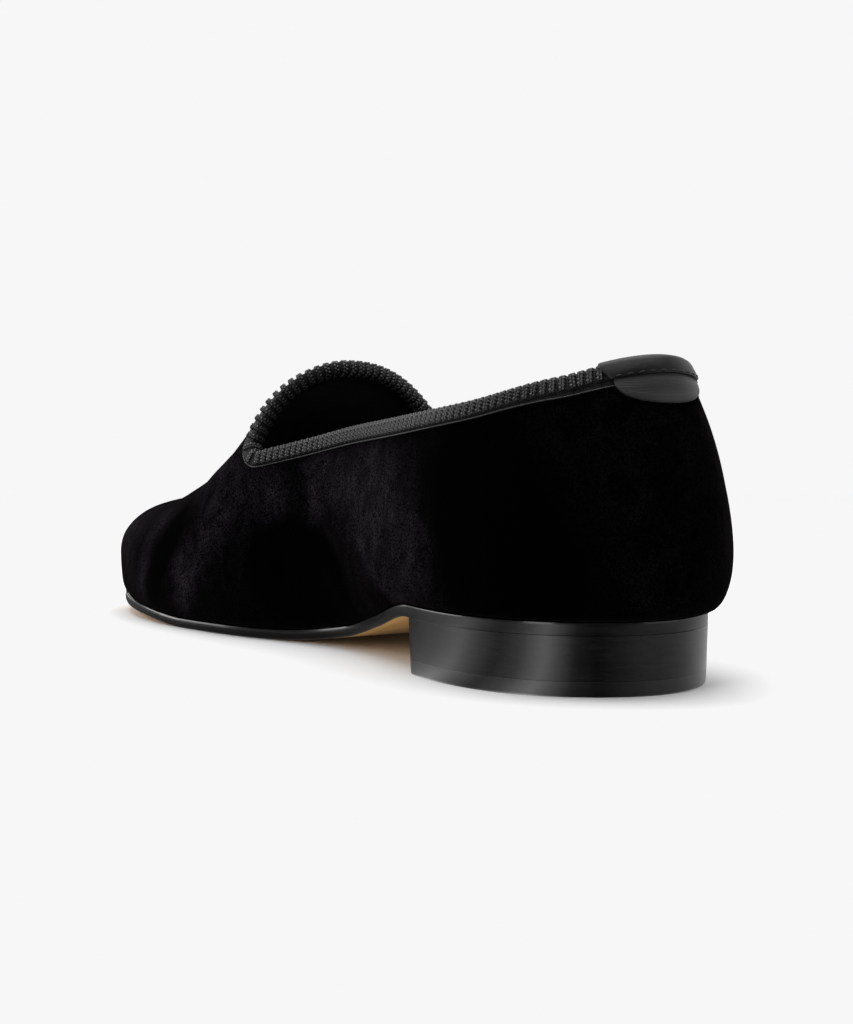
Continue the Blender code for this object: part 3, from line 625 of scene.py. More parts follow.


# Painted sheen (strength above 0) and painted shade (below 0) on the velvet: same places, width, strength
paintedLightRow = namedtuple("paintedLightRow", "fromAlong fromWay toAlong toWay side width strength")
paintedLightTable = (
    paintedLightRow(0.960, 0.62, 0.850, 0.40, 1, 9.0 * mm, 0.75),
    paintedLightRow(0.752, 0.52, 0.790, 0.14, 1, 4.2 * mm, 0.80),
    paintedLightRow(0.690, 0.45, 0.752, 0.17, 1, 3.0 * mm, -0.90),
    paintedLightRow(0.610, 0.38, 0.668, 0.24, 1, 6.0 * mm, 0.75),
    paintedLightRow(0.668, 0.26, 0.678, 0.12, 1, 4.2 * mm, 0.80),
    paintedLightRow(0.660, 0.64, 0.560, 0.44, 1, 10.0 * mm, 0.60),
    paintedLightRow(0.520, 0.41, 0.515, 0.36, 1, 3.2 * mm, 0.50),
    paintedLightRow(0.500, 0.24, 0.430, 0.14, 1, 9.0 * mm, -0.90),
    paintedLightRow(0.468, 0.45, 0.455, 0.33, 1, 2.4 * mm, 0.55),
    paintedLightRow(0.430, 0.42, 0.300, 0.32, 1, 10.0 * mm, 0.75),
    paintedLightRow(0.310, 0.36, 0.215, 0.20, 1, 11.0 * mm, 0.80),
    paintedLightRow(0.340, 0.25, 0.262, 0.03, 1, 1.8 * mm, 0.60),
    paintedLightRow(0.300, 0.22, 0.240, 0.03, 1, 2.2 * mm, 0.45),
    paintedLightRow(0.120, 0.34, 0.080, 0.16, 1, 14.0 * mm, -0.60),
    paintedLightRow(0.750, 0.52, 0.780, 0.15, -1, 4.5 * mm, 0.75),
    paintedLightRow(0.640, 0.42, 0.680, 0.20, -1, 6.0 * mm, 0.70),
    paintedLightRow(0.600, 0.60, 0.540, 0.40, -1, 10.0 * mm, 0.50),
    paintedLightRow(0.480, 0.30, 0.420, 0.15, -1, 9.0 * mm, -0.70),
    paintedLightRow(0.400, 0.38, 0.250, 0.24, -1, 11.0 * mm, 0.75),
    paintedLightRow(0.045, 0.50, 0.038, 0.10, -1, 2.6 * mm, 0.50),
    paintedLightRow(0.100, 0.48, 0.085, 0.08, -1, 4.0 * mm, 0.55),
)


def placeOnRib(along, way, side):
    rows = rowsAt(sidesOf(soleOutline)[2 if side > 0 else 3], np.array([along * lastForm["length"]]))
    return lastPoints(rows, share=np.array([[way]]))[0, 0]


def foldDepth(points, fold):
    # a trough with raised shoulders, dying out at both ends
    start = placeOnRib(fold.fromAlong, fold.fromWay, fold.side)
    stop = placeOnRib(fold.toAlong, fold.toWay, fold.side)
    run = stop - start
    part = (points - start) @ run / (run @ run)
    away = np.linalg.norm(points - start - np.clip(part, 0, 1)[:, None] * run, axis=1) / fold.width
    bow = (1 - 0.55 * away**2) * np.exp(-0.5 * away**2)
    fade = smoothStep((part + 0.25) / 0.5) * smoothStep((1.25 - part) / 0.5)
    return -fold.depth * bow * fade


def paintedLightShare(points):
    # lighter colour's share: a faint level everywhere, painted sheen and painted shade at the table's rows
    share = np.full(len(points), velvetLook["plainShare"])
    for row in paintedLightTable:
        start = placeOnRib(row.fromAlong, row.fromWay, row.side)
        stop = placeOnRib(row.toAlong, row.toWay, row.side)
        run = stop - start
        part = np.clip((points - start) @ run / (run @ run), 0, 1)
        away = np.linalg.norm(points - start - part[:, None] * run, axis=1) / row.width
        share += row.strength * np.exp(-0.7 * away**2)
    return np.clip(share, 0, 1)


def upperStations():
    form = upperForm
    length = lastForm["length"]
    throat = lastForm["throat"] * length
    start = (lastForm["heelCentre"] + lastForm["centreBlend"]) * length
    heel = towardsEnd(ribTable[0].along * length, start, form["heelRibs"])
    turn = np.linspace(0, 1, form["cornerRibs"]) * math.pi / 2
    corner = throat - lastForm["notchRadius"] * (1 - np.sin(turn))
    quarter = np.concatenate([heel, np.linspace(start, corner[0], form["quarterRibs"])[1:-1], corner])
    fan = (lastForm["toeCentre"] + lastForm["centreBlend"]) * length
    share = np.arange(1, form["vampRibs"] + 1) / form["vampRibs"]
    vamp = throat + (fan - throat) * (0.6 * share + 0.4 * share**2)
    toe = towardsEnd(sidesOf(soleOutline)[1][0], fan, form["toeRibs"] + 1)[-2::-1]
    return quarter, np.concatenate([vamp, toe])


def toplinePath():
    # the velvet's edge once round, from the back along the inner side, over the tongue and back
    heel, _, inner, outer = sidesOf(soleOutline)
    throat = lastForm["throat"] * lastForm["length"]
    radius = lastForm["notchRadius"]
    fine = np.concatenate([
        towardsEnd(heel[0], throat * 0.25, 90),
        np.linspace(throat * 0.25, throat - radius, 90)[1:],
        throat - radius * (1 - np.sin(np.linspace(0, 1, 24)[1:] * math.pi / 2)),
    ])
    sides = []
    for side in (inner, outer):
        rows = rowsAt(side, np.concatenate([[heel[0]], fine]))
        low = lastPoints(rows, height=toplineHeight(rows[:, 0])[:, None])[:, 0]
        start = shareAt(rows[-1:], toplineHeight(rows[-1:, 0]))[0]
        climb = start + (1 - start) * np.linspace(0, 1, 60)[None, 1:]
        sides.append(np.concatenate([low, lastPoints(rows[-1:], share=climb)[0]]))
    return np.concatenate([sides[0], sides[1][-2::-1]])[:-1]


def makeUpper(edgePath):
    form = upperForm
    quarter, front = upperStations()
    rows = loopOf(soleOutline, np.concatenate([quarter, front]))
    behind = len(quarter)
    throat = lastForm["throat"] * lastForm["length"]
    isFront = rows[:, 0] > throat + 0.01 * mm
    top = shareAt(rows, toplineHeight(np.minimum(rows[:, 0], throat)))
    blend = smoothStep((rows[:, 0] - throat) / (form["splitBlend"] * lastForm["length"]))
    top = np.where(isFront, top[behind] + (form["frontSplit"] - top[behind]) * blend, top)
    levels = np.linspace(0, 1, form["lowerRows"] + 1) ** 0.95
    lower = lastPoints(rows, share=top[:, None] * levels[None, :])
    centre = centreStation(rows[:, 0])
    middle = through(ridgeTable, "across", centre) * lastForm["ballWidth"]
    part = form["margin"] / np.hypot(centre - rows[:, 0], middle - rows[:, 1])
    towards = np.stack([centre, middle], 1)
    rim = rows[:, :2] + (towards - rows[:, :2]) * part[:, None]
    rim = np.concatenate([rim, soleLine(rim[:, :1])], 1)
    lower = np.concatenate([rim[:, None], lower], 1)
    faces = gridFaces(0, form["lowerRows"] + 2, len(rows), wrapped=True)
    ahead = slice(behind, len(rows) - behind + 1)
    climb = np.linspace(0, 1, form["upperRows"] + 1)[None, :]
    start = top[ahead][:, None]
    upper = lastPoints(rows[ahead], share=start + (1 - start) * climb)
    faces += gridFaces(lower.shape[0] * lower.shape[1], form["upperRows"] + 1, upper.shape[0])
    points = np.concatenate([lower.reshape(-1, 3), upper.reshape(-1, 3)])
    piece = newPiece("velvetUpper", points, faces, [velvet, liningLeather])
    mesh = piece.data
    count = len(mesh.vertices)
    places = np.zeros(count * 3)
    mesh.vertices.foreach_get("co", places)
    places = places.reshape(-1, 3)
    normals = np.zeros(count * 3)
    mesh.vertex_normals.foreach_get("vector", normals)
    normals = normals.reshape(-1, 3)
    middle = places.mean(0)
    if ((places - middle) * normals).sum() < 0:
        mesh.flip_normals()
        normals = -normals
    onLast = places - frameShift
    edge = edgePath[::3]
    near = np.concatenate([
        np.linalg.norm(onLast[i : i + 2000, None] - edge[None], axis=2).min(1) for i in range(0, count, 2000)
    ])
    above = onLast[:, 2] - soleLine(onLast[:, 0])
    calm = smoothStep((near - 5 * mm) / (14 * mm)) * smoothStep((above - 2 * mm) / (9 * mm))
    wave = np.array([noise.noise(Vector(p) / form["unevenSize"]) for p in onLast])
    stretched = onLast * (1.6, 1.0, 0.5)
    ripple = np.array([noise.noise(Vector(p) / form["rippleSize"]) for p in stretched])
    moved = form["unevenness"] * (wave + form["rippleShare"] * ripple)
    for fold in foldTable:
        moved += foldDepth(onLast, fold)
    places += normals * (moved * calm)[:, None]
    mesh.vertices.foreach_set("co", places.reshape(-1))
    # painted sheen and painted shade, kept on the points for the velvet's colour
    nap = mesh.attributes.new("nap", "FLOAT", "POINT")
    nap.data.foreach_set("value", paintedLightShare(onLast))
    mesh.update()
    wall = piece.modifiers.new("wall", "SOLIDIFY")
    wall.thickness = form["wall"]
    wall.offset = -1
    wall.use_even_offset = True
    wall.use_quality_normals = True
    wall.material_offset = 1
    applyModifiers(piece)
    finishPiece(piece, ["upper"], 50)


edgePath = toplinePath()
makeUpper(edgePath)


# Trims are laid on a fine surface of the last
def lastSurface():
    first, last = sidesOf(soleOutline)[:2]
    start, stop = lastForm["heelCentre"] * lastForm["length"], lastForm["toeCentre"] * lastForm["length"]
    middle = np.linspace(start, stop, 260)[1:-1]
    rows = loopOf(soleOutline, endsAndMiddle(first[0], start, middle, stop, last[0], 60))
    points = lastPoints(rows, share=np.linspace(0, 1, 121)[None, :]).reshape(-1, 3)
    return BVHTree.FromPolygons([Vector(p) for p in points], gridFaces(0, 121, len(rows), wrapped=True))


surface = lastSurface()
closedPath = np.concatenate([edgePath, edgePath[:1]])
pathReach = np.concatenate([[0], np.cumsum(np.linalg.norm(np.diff(closedPath, axis=0), axis=1))])
pathLength = pathReach[-1]


def onPath(distances):
    at = np.mod(distances, pathLength)
    return np.stack([np.interp(at, pathReach, closedPath[:, c]) for c in range(3)], 1)


def onVelvet(point):
    # the nearest place on the last, and its outward normal
    place, normal, _, _ = surface.find_nearest(point)
    inside = Vector((centreStation(np.array(place[0])), 0, place[2] * 0.6))
    return place, normal if (place - inside).dot(normal) > 0 else -normal


def edgeFrames(distances, step=0.5 * mm):
    # at each distance along the topline: place, way along, way out and way down
    ahead = onPath(distances + step) - onPath(distances - step)
    frames = []
    for point, tangent in zip(onPath(distances), ahead):
        along = Vector(tangent).normalized()
        place, out = onVelvet(Vector(point))
        out = (out - along * out.dot(along)).normalized()
        frames.append((place, along, out, out.cross(along)))
    return frames


def laidPoint(edgeFrame, depth, off):
    # a point below the topline and off the velvet
    place, _, out, down = edgeFrame
    foot = place + down * depth
    if depth > 0:
        foot, out = onVelvet(foot)
    return foot + out * off


def loftPiece(name, sections, materials, distances=None, widths=None):
    # a closed solid through sections of equal count; its UV map holds metres along and across the strip
    along, across = sections.shape[:2]
    faces = []
    uvs = []
    for j in range(along - 1):
        for k in range(across):
            after = (k + 1) % across
            faces.append((j * across + k, (j + 1) * across + k, (j + 1) * across + after, j * across + after))
            if distances is not None:
                w0, w1 = widths[k], widths[k + 1]
                d0, d1 = distances[j], distances[j + 1]
                uvs += [(d0, w0), (d1, w0), (d1, w1), (d0, w1)]
    ends = [tuple(range(across))[::-1], tuple((along - 1) * across + k for k in range(across))]
    for end in ends:
        faces.append(end)
        uvs += [(0, 0)] * across
    mesh = bpy.data.meshes.new(name)
    mesh.from_pydata((sections.reshape(-1, 3) + frameShift).tolist(), [], faces)
    for material in materials:
        mesh.materials.append(material)
    if distances is not None:
        layer = mesh.uv_layers.new(name="ribbonUv")
        layer.data.foreach_set("uv", np.array(uvs).reshape(-1))
    work = bmesh.new()
    work.from_mesh(mesh)
    bmesh.ops.recalc_face_normals(work, faces=work.faces)
    bmesh.ops.triangulate(work, faces=[f for f in work.faces if len(f.verts) > 4])
    work.to_mesh(mesh)
    work.free()
    mesh.shade_smooth()
    piece = bpy.data.objects.new(name, mesh)
    bpy.context.scene.collection.objects.link(piece)
    return piece


def foldedSection(depth, thickness, hem, hemThickness, innerDepth, lift=0.0, steps=7):
    # up the outside, round over the wall's edge and down the inside: pairs of depth and height off the velvet
    wall = upperForm["wall"]
    near = lastForm["gap"] + lift
    far = -wall - lastForm["gap"] - lift
    middle = (near + thickness + far - thickness) / 2
    radius = near + thickness - middle
    turn = np.linspace(0, math.pi, steps)
    over = [(0.4 * mm - math.sin(t) * (radius * 0.62 + lift), middle + math.cos(t) * radius) for t in turn]
    outer = [(depth + hem, near)]
    if hem:
        outer += [(depth + hem, near + hemThickness), (depth + 0.25 * mm, near + hemThickness)]
    top = near + thickness
    outer += [(depth, near + thickness * 0.85), (depth - 0.35 * mm, top), (depth * 0.5, top)]
    inner = [(innerDepth * 0.5, far - thickness), (innerDepth - 0.3 * mm, far - thickness)]
    inner += [(innerDepth, far - thickness * 0.6), (innerDepth, far), (innerDepth * 0.5, far)]
    under = [(-0.3 * mm, far), (-0.3 * mm, near), (depth * 0.5, near)]
    return outer + over + inner + under


# Things repeated along a line: points that carry the ways along and out, with one shape set on each
def repeatTree(name):
    tree = bpy.data.node_groups.new(name, "GeometryNodeTree")
    face = tree.interface
    face.new_socket("Geometry", in_out="INPUT", socket_type="NodeSocketGeometry")
    face.new_socket("Shape", in_out="INPUT", socket_type="NodeSocketObject")
    face.new_socket("Finish", in_out="INPUT", socket_type="NodeSocketMaterial")
    face.new_socket("Size", in_out="INPUT", socket_type="NodeSocketFloat")
    face.new_socket("Size Variation", in_out="INPUT", socket_type="NodeSocketFloat")
    face.new_socket("Turn Variation", in_out="INPUT", socket_type="NodeSocketFloat")
    face.new_socket("Seed", in_out="INPUT", socket_type="NodeSocketInt")
    face.new_socket("Geometry", in_out="OUTPUT", socket_type="NodeSocketGeometry")
    given = addNode(tree, "NodeGroupInput").outputs
    shape = addNode(tree, "GeometryNodeObjectInfo", None, {"Object": given["Shape"]})
    out = addNode(
        tree, "GeometryNodeInputNamedAttribute", {"data_type": "FLOAT_VECTOR", "Name": "wayOut"}
    )
    along = addNode(
        tree, "GeometryNodeInputNamedAttribute", {"data_type": "FLOAT_VECTOR", "Name": "wayAlong"}
    )
    turned = addNode(
        tree, "FunctionNodeAxesToRotation", {"primary_axis": "Z", "secondary_axis": "X"},
        {"Primary Axis": out.outputs["Attribute"], "Secondary Axis": along.outputs["Attribute"]},
    )
    least = addNode(
        tree, "ShaderNodeMath", {"operation": "SUBTRACT"}, {0: given["Size"], 1: given["Size Variation"]}
    )
    most = addNode(
        tree, "ShaderNodeMath", {"operation": "ADD"}, {0: given["Size"], 1: given["Size Variation"]}
    )
    size = addNode(
        tree, "FunctionNodeRandomValue", {"data_type": "FLOAT"},
        {2: least.outputs[0], 3: most.outputs[0], "Seed": given["Seed"]},
    )
    back = addNode(
        tree, "ShaderNodeMath", {"operation": "MULTIPLY", 1: -1.0}, {0: given["Turn Variation"]}
    )
    swing = addNode(
        tree, "FunctionNodeRandomValue", {"data_type": "FLOAT"},
        {2: back.outputs[0], 3: given["Turn Variation"], "Seed": given["Seed"]},
    )
    wobble = addNode(
        tree, "FunctionNodeAxisAngleToRotation", {"Axis": (0, 0, 1)}, {"Angle": swing.outputs[1]}
    )
    rotation = addNode(
        tree, "FunctionNodeRotateRotation", {"rotation_space": "LOCAL"},
        {0: turned.outputs[0], 1: wobble.outputs[0]},
    )
    placed = addNode(
        tree, "GeometryNodeInstanceOnPoints", None,
        {
            "Points": given["Geometry"], "Instance": shape.outputs["Geometry"],
            "Rotation": rotation.outputs[0], "Scale": size.outputs[1],
        },
    )
    real = addNode(tree, "GeometryNodeRealizeInstances", None, {"Geometry": placed.outputs["Instances"]})
    painted = addNode(
        tree, "GeometryNodeSetMaterial", None,
        {"Geometry": real.outputs["Geometry"], "Material": given["Finish"]},
    )
    addNode(tree, "NodeGroupOutput", None, {"Geometry": painted.outputs["Geometry"]})
    return tree


repeatAlong = repeatTree("repeatAlong")


def repeatPiece(name, places, alongs, outs, shapePoints, shapeFaces, finish, **values):
    # one shape at each place, its x along the line and its z out of the surface
    points = bpy.data.meshes.new(name)
    points.from_pydata((np.array(places) + frameShift).tolist(), [], [])
    for key, ways in (("wayAlong", alongs), ("wayOut", outs)):
        layer = points.attributes.new(key, "FLOAT_VECTOR", "POINT")
        layer.data.foreach_set("vector", np.array(ways, dtype=float).reshape(-1))
    shapeMesh = bpy.data.meshes.new(name + "Shape")
    shapeMesh.from_pydata([tuple(p) for p in shapePoints], [], shapeFaces)
    shapeMesh.shade_smooth()
    shape = bpy.data.objects.new(name + "Shape", shapeMesh)
    bpy.context.scene.collection.objects.link(shape)
    piece = bpy.data.objects.new(name, points)
    bpy.context.scene.collection.objects.link(piece)
    grown = piece.modifiers.new("repeatAlong", "NODES")
    grown.node_group = repeatAlong
    settings = {"Size": 1.0, "Size Variation": 0.0, "Turn Variation": 0.0, "Seed": 1}
    settings.update(values, Shape=shape, Finish=finish)
    for item in repeatAlong.interface.items_tree:
        if item.in_out == "INPUT" and item.name in settings:
            grown[item.identifier] = settings[item.name]
    applyModifiers(piece)
    bpy.data.objects.remove(shape)
    return piece


def sweptShape(spine, halfWidth, height, sides=8, beads=None):
    # a closed cord along spine, given as depth and height off the surface; x is across the cord
    spine = np.array(spine)
    if beads:
        run = np.concatenate([[0], np.cumsum(np.linalg.norm(np.diff(spine, axis=0), axis=1))])
        at = np.linspace(0, run[-1], int(run[-1] / beads["beadPitch"] * 3.2) + 1)
        spine = np.stack([np.interp(at, run, spine[:, c]) for c in range(2)], 1)
    ahead = np.gradient(spine, axis=0)
    ahead /= np.linalg.norm(ahead, axis=1)[:, None]
    rise = np.stack([-ahead[:, 1], ahead[:, 0]], 1)
    points = []
    for j, (place, up) in enumerate(zip(spine, rise)):
        close = 0.6 if j in (0, len(spine) - 1) else 1.0
        shift = 0.0
        if beads:
            wave = math.cos(at[j] / beads["beadPitch"] * 2 * math.pi + beads["phase"])
            close *= 1 + beads["swell"] * wave
            shift = beads["offset"] + beads["slant"] * (0.5 - at[j] / run[-1])
        for k in range(sides):
            turn = 2 * math.pi * k / sides
            bulge = up * math.sin(turn) * height * close
            aside = shift + math.cos(turn) * halfWidth * close
            points.append((aside, place[0] + bulge[0], place[1] + bulge[1]))
    faces = []
    for j in range(len(spine) - 1):
        for k in range(sides):
            a, b = j * sides + k, j * sides + (k + 1) % sides
            faces.append((a, b, b + sides, a + sides))
    faces += [tuple(range(sides))[::-1], tuple((len(spine) - 1) * sides + k for k in range(sides))]
    return points, faces


tabForm = {
    "halfLength": 15.5 * mm,  # along the topline
    "slant": 2.3 * mm,  # how much shorter each end is at the lower edge
    "depth": 4.1 * mm,
    "innerDepth": 6.4 * mm,
    "thickness": 1.0 * mm,
    "lift": 0.6 * mm,  # off the velvet, for the ribbon's ends under it
    "stitchPitch": 2.3 * mm,
    "stitchInset": 0.45 * mm,
    "halfStitch": 0.75 * mm,
    "threadRadius": 0.20 * mm,
    "threadRise": 0.17 * mm,
    "patchHalfWidth": 12.6 * mm,
    "patchDepth": 7.4 * mm,
    "patchThickness": 1.0 * mm,
}

bindingForm = {
    "ribbedDepth": 3.7 * mm,
    "innerDepth": 6.2 * mm,
    "thickness": 0.7 * mm,
    "sectionPitch": 0.9 * mm,
    "underTab": 1.5 * mm,  # how far the ends reach under the tab
    "endMargin": 1.0 * mm,  # from an end to its first rib
    "hem": 0.65 * mm,  # flat weave below the ribs, wider near the tab
    "hemAtTab": 1.8 * mm,
    "tabReach": 26 * mm,
    "hemThickness": 0.25 * mm,
    "ribPitch": 2.62 * mm,
    "pitchChange": 0.10,
    "strandWidth": 0.52 * mm,  # half widths of one strand, and its distance from the rib's middle
    "strandHeight": 0.46 * mm,
    "strandOffset": 0.38 * mm,
    "beadPitch": 1.0 * mm,  # from twist to twist
    "swell": 0.36,
    "slant": 0.6 * mm,
    "cordRadius": 0.20 * mm,
}


def makeBinding():
    form = bindingForm
    start = tabForm["halfLength"] - tabForm["slant"] - form["underTab"]
    distances = np.arange(start, pathLength - start, form["sectionPitch"])
    sections = []
    cordSections = []
    circle = np.linspace(0, 2 * math.pi, 7)[:-1]
    cordRadius = form["cordRadius"]
    for distance, edgeFrame in zip(distances, edgeFrames(distances)):
        fromTab = min(distance, pathLength - distance) - start
        nearTab = math.exp(-((fromTab / form["tabReach"]) ** 2))
        hem = form["hem"] + (form["hemAtTab"] - form["hem"]) * nearTab
        pairs = foldedSection(
            form["ribbedDepth"], form["thickness"], hem, form["hemThickness"], form["innerDepth"]
        )
        sections.append([laidPoint(edgeFrame, depth, off) for depth, off in pairs])
        edge = form["ribbedDepth"] + hem
        level = lastForm["gap"] + form["hemThickness"] + cordRadius * 0.5
        cordSections.append([
            laidPoint(edgeFrame, edge + math.cos(t) * cordRadius, level + math.sin(t) * cordRadius)
            for t in circle
        ])
    # the edge cord takes the lighter copy of the weave, painted as lit
    cord = loftPiece("ribbonEdge", np.array(cordSections), [litRibbon], distances, np.linspace(0, 1.2 * mm, 7))
    finishPiece(cord)
    steps = np.linalg.norm(np.diff(np.array(pairs + pairs[:1]), axis=0), axis=1)
    widths = np.concatenate([[0], np.cumsum(steps)])
    # the band between the ribs takes the darker copy of the weave, painted shade
    piece = loftPiece("ribbonBand", np.array(sections), [shadedRibbonGround], distances, widths)
    finishPiece(piece, ["topline_binding"], 35)
    count = int(round((pathLength - 2 * start) / form["ribPitch"]))
    share = np.linspace(0, 1, count)
    share = share - form["pitchChange"] * np.sin(2 * math.pi * share) / (2 * math.pi)  # closer at the tab
    margin = form["endMargin"]
    ribFrames = edgeFrames(start + margin + share * (pathLength - 2 * start - 2 * margin))
    wall = upperForm["wall"]
    near = lastForm["gap"] + form["thickness"]
    far = -wall - near
    middle = (near + far) / 2
    turn = np.linspace(0, math.pi, 7)
    radius = near - middle
    spine = [(form["ribbedDepth"], near - 0.1 * mm), (form["ribbedDepth"] - 0.5 * mm, near)]
    spine += [(2.0 * mm, near + 0.05 * mm)]
    spine += [(0.4 * mm - math.sin(t) * radius * 0.62, middle + math.cos(t) * radius) for t in turn]
    spine += [(2.4 * mm, far), (form["innerDepth"] - 1.2 * mm, far)]
    points, faces = [], []
    # each rib is a pair of twisted strands, the beads of one between those of the other
    for side in (-1, 1):
        beads = {key: form[key] for key in ("beadPitch", "swell", "slant")}
        beads.update(offset=side * form["strandOffset"], phase=side * math.pi / 2)
        strand, strips = sweptShape(spine, form["strandWidth"], form["strandHeight"], 6, beads)
        faces += [tuple(k + len(points) for k in face) for face in strips]
        points += strand
    # the ribs take the lighter copy of the weave, painted as lit
    ribs = repeatPiece(
        "ribbonCords", [f[0] for f in ribFrames], [f[1] for f in ribFrames], [f[2] for f in ribFrames],
        points, faces, litRibbon, Seed=7, **{"Turn Variation": 0.05, "Size Variation": 0.012},
    )
    finishPiece(ribs)


makeBinding()


def makeHeelTab():
    form = tabForm
    shares = np.linspace(-1, 1, 121)
    pairs = foldedSection(form["depth"], form["thickness"], 0, 0, form["innerDepth"], form["lift"], 11)
    sections = []
    for share in shares:
        row = []
        rounding = 1 - 0.35 * max(0.0, (abs(share) - 0.96) / 0.04) ** 2
        centre = np.array([share * form["halfLength"]])
        for depth, off in pairs:
            shorter = form["slant"] * min(max(depth, 0), form["depth"]) / form["depth"]
            at = centre - np.sign(share) * shorter * smoothStep((abs(share) - 0.6) / 0.4)
            edgeFrame = edgeFrames(at)[0]
            level = off * rounding if off > 0 else off
            row.append(laidPoint(edgeFrame, depth, level))
        sections.append(row)
    piece = loftPiece("heelTab", np.array(sections), [tabLeather])
    finishPiece(piece, ["heel_tab"], 35)
    count = int(2 * (form["halfLength"] - form["slant"] - 1.5 * mm) / form["stitchPitch"])
    reach = form["halfLength"] - form["slant"] - 2 * mm
    places, alongs, outs = [], [], []
    for edgeFrame in edgeFrames(np.linspace(-reach, reach, count)):
        place = laidPoint(edgeFrame, form["depth"] - form["stitchInset"], 0)
        _, out = onVelvet(place)
        places.append(place + out * (lastForm["gap"] + form["lift"] + form["thickness"] - 0.02 * mm))
        alongs.append(edgeFrame[1])
        outs.append(out)
    run = np.linspace(-1, 1, 7)
    spine = [(t * form["halfStitch"], (0.16 - 0.30 * t * t) * mm) for t in run]
    points, faces = sweptShape(spine, form["threadRadius"], form["threadRise"], 6)
    points = [(y, -x, z) for x, y, z in points]
    stitches = repeatPiece(
        "tabStitches", places, alongs, outs, points, faces, thread, Seed=3, **{"Turn Variation": 0.08}
    )
    finishPiece(stitches)


makeHeelTab()


def makeHeelPatch():
    form = tabForm
    turns = np.sin(np.linspace(-1, 1, 81) * math.pi / 2) * 0.999
    start = form["depth"] - 0.2 * mm
    thick = form["patchThickness"]
    near = lastForm["gap"] * 0.5
    sections = []
    for turn, edgeFrame in zip(turns, edgeFrames(turns * form["patchHalfWidth"])):
        drop = form["patchDepth"] * math.sqrt(1 - turn**2) + 0.3 * mm
        edge = min(1.0, drop / (2 * mm))
        pairs = [(start, near), (start, near + thick * edge)]
        pairs += [(start + drop * s, near + thick * edge) for s in (0.25, 0.5, 0.75, 0.9)]
        pairs += [(start + drop * 0.96, near + thick * 0.85 * edge)]
        pairs += [(start + drop, near + thick * 0.45 * edge)]
        pairs += [(start + drop, near), (start + drop * 0.66, near), (start + drop * 0.33, near)]
        sections.append([laidPoint(edgeFrame, depth, off) for depth, off in pairs])
    piece = loftPiece("heelTabPatch", np.array(sections), [patchLeather])
    finishPiece(piece, ["heel_tab_patch"], 35)


makeHeelPatch()


# Slabs: outlines stacked upwards, closed at both ends by strips from side to side
def slabPiece(name, loops, heights, materials, levelSlots):
    # levelSlots holds the material's place in the list for the strip above each outline
    count = len(loops[0])
    points = [(row[0], row[1], z) for loop, height in zip(loops, heights) for row, z in zip(loop, height)]
    faces = []
    slots = []
    for level in range(len(loops) - 1):
        for j in range(count):
            a, b = level * count + j, level * count + (j + 1) % count
            faces.append((a, b, b + count, a + count))
            slots.append(levelSlots[level])
    for level in (0, len(loops) - 1):
        first = level * count
        for j in range(count // 2):
            quad = [first + j, first + j + 1, first + (count - j - 1) % count, first + (count - j) % count]
            faces.append(tuple(dict.fromkeys(quad)))
            slots.append(levelSlots[level])
    return newPiece(name, points, faces, materials, slots, merge=0.002 * mm)


soleForm = {
    "stations": 120,
    "endStations": 34,
    "flushBlend": 16 * mm,  # from the breast forwards, the edge grows round over this length
    "flushShare": 0.12,  # what is left of the rounding over the heel
    "flushReach": 0.78 * mm,  # rows of the table that are trimmed there
}

# The sole's edge from the tread to the upper: in from the edge, and height as a share of the thickness
edgeRow = namedtuple("edgeRow", "inset height burnished")
edgeTable = (
    edgeRow(4.8 * mm, 0.00, False),
    edgeRow(4.4 * mm, 0.00, False),
    edgeRow(4.2 * mm, 0.08, False),
    edgeRow(4.0 * mm, 0.00, False),
    edgeRow(1.3 * mm, 0.00, True),
    edgeRow(0.75 * mm, 0.02, True),
    edgeRow(0.25 * mm, 0.12, True),
    edgeRow(0.05 * mm, 0.28, True),
    edgeRow(0.00 * mm, 0.50, True),
    edgeRow(0.02 * mm, 0.80, True),
    edgeRow(0.10 * mm, 0.95, True),
    edgeRow(0.32 * mm, 1.00, True),
    edgeRow(0.80 * mm, 0.93, True),
    edgeRow(1.05 * mm, 1.00, True),
    edgeRow(3.50 * mm, 1.00, True),
)


def makeOutsole():
    length = lastForm["length"]
    start, stop = lastForm["heelCentre"] * length, lastForm["toeCentre"] * length
    middle = np.linspace(start, stop, soleForm["stations"])[1:-1]
    loops, heights = [], []
    # over the heel the edge is trimmed flush, in front of it the edge is rounded
    ahead = smoothStep((soleEdgeLine[:, 0] - lastForm["breast"] * length) / soleForm["flushBlend"])
    for row in edgeTable:
        flush = soleForm["flushShare"] if row.burnished and row.inset < soleForm["flushReach"] else 1
        edge = movedOutline(soleEdgeLine, -row.inset * (flush + (1 - flush) * ahead))
        first, last = sidesOf(edge)[0][0], sidesOf(edge)[1][0]
        loop = loopOf(edge, endsAndMiddle(first, start, middle, stop, last, soleForm["endStations"]))
        loops.append(loop)
        heights.append(treadHeight(loop[:, 0]) + lastForm["soleThickness"] * row.height)
    burnished = [int(row.burnished) for row in edgeTable]
    piece = slabPiece("leatherOutsole", loops, heights, [treadLeather, edgeLeather], burnished)
    finishPiece(piece, ["outsole"], 45)


makeOutsole()


insoleForm = {"inset": 2.2 * mm, "thickness": 2.5 * mm, "round": 0.8 * mm}


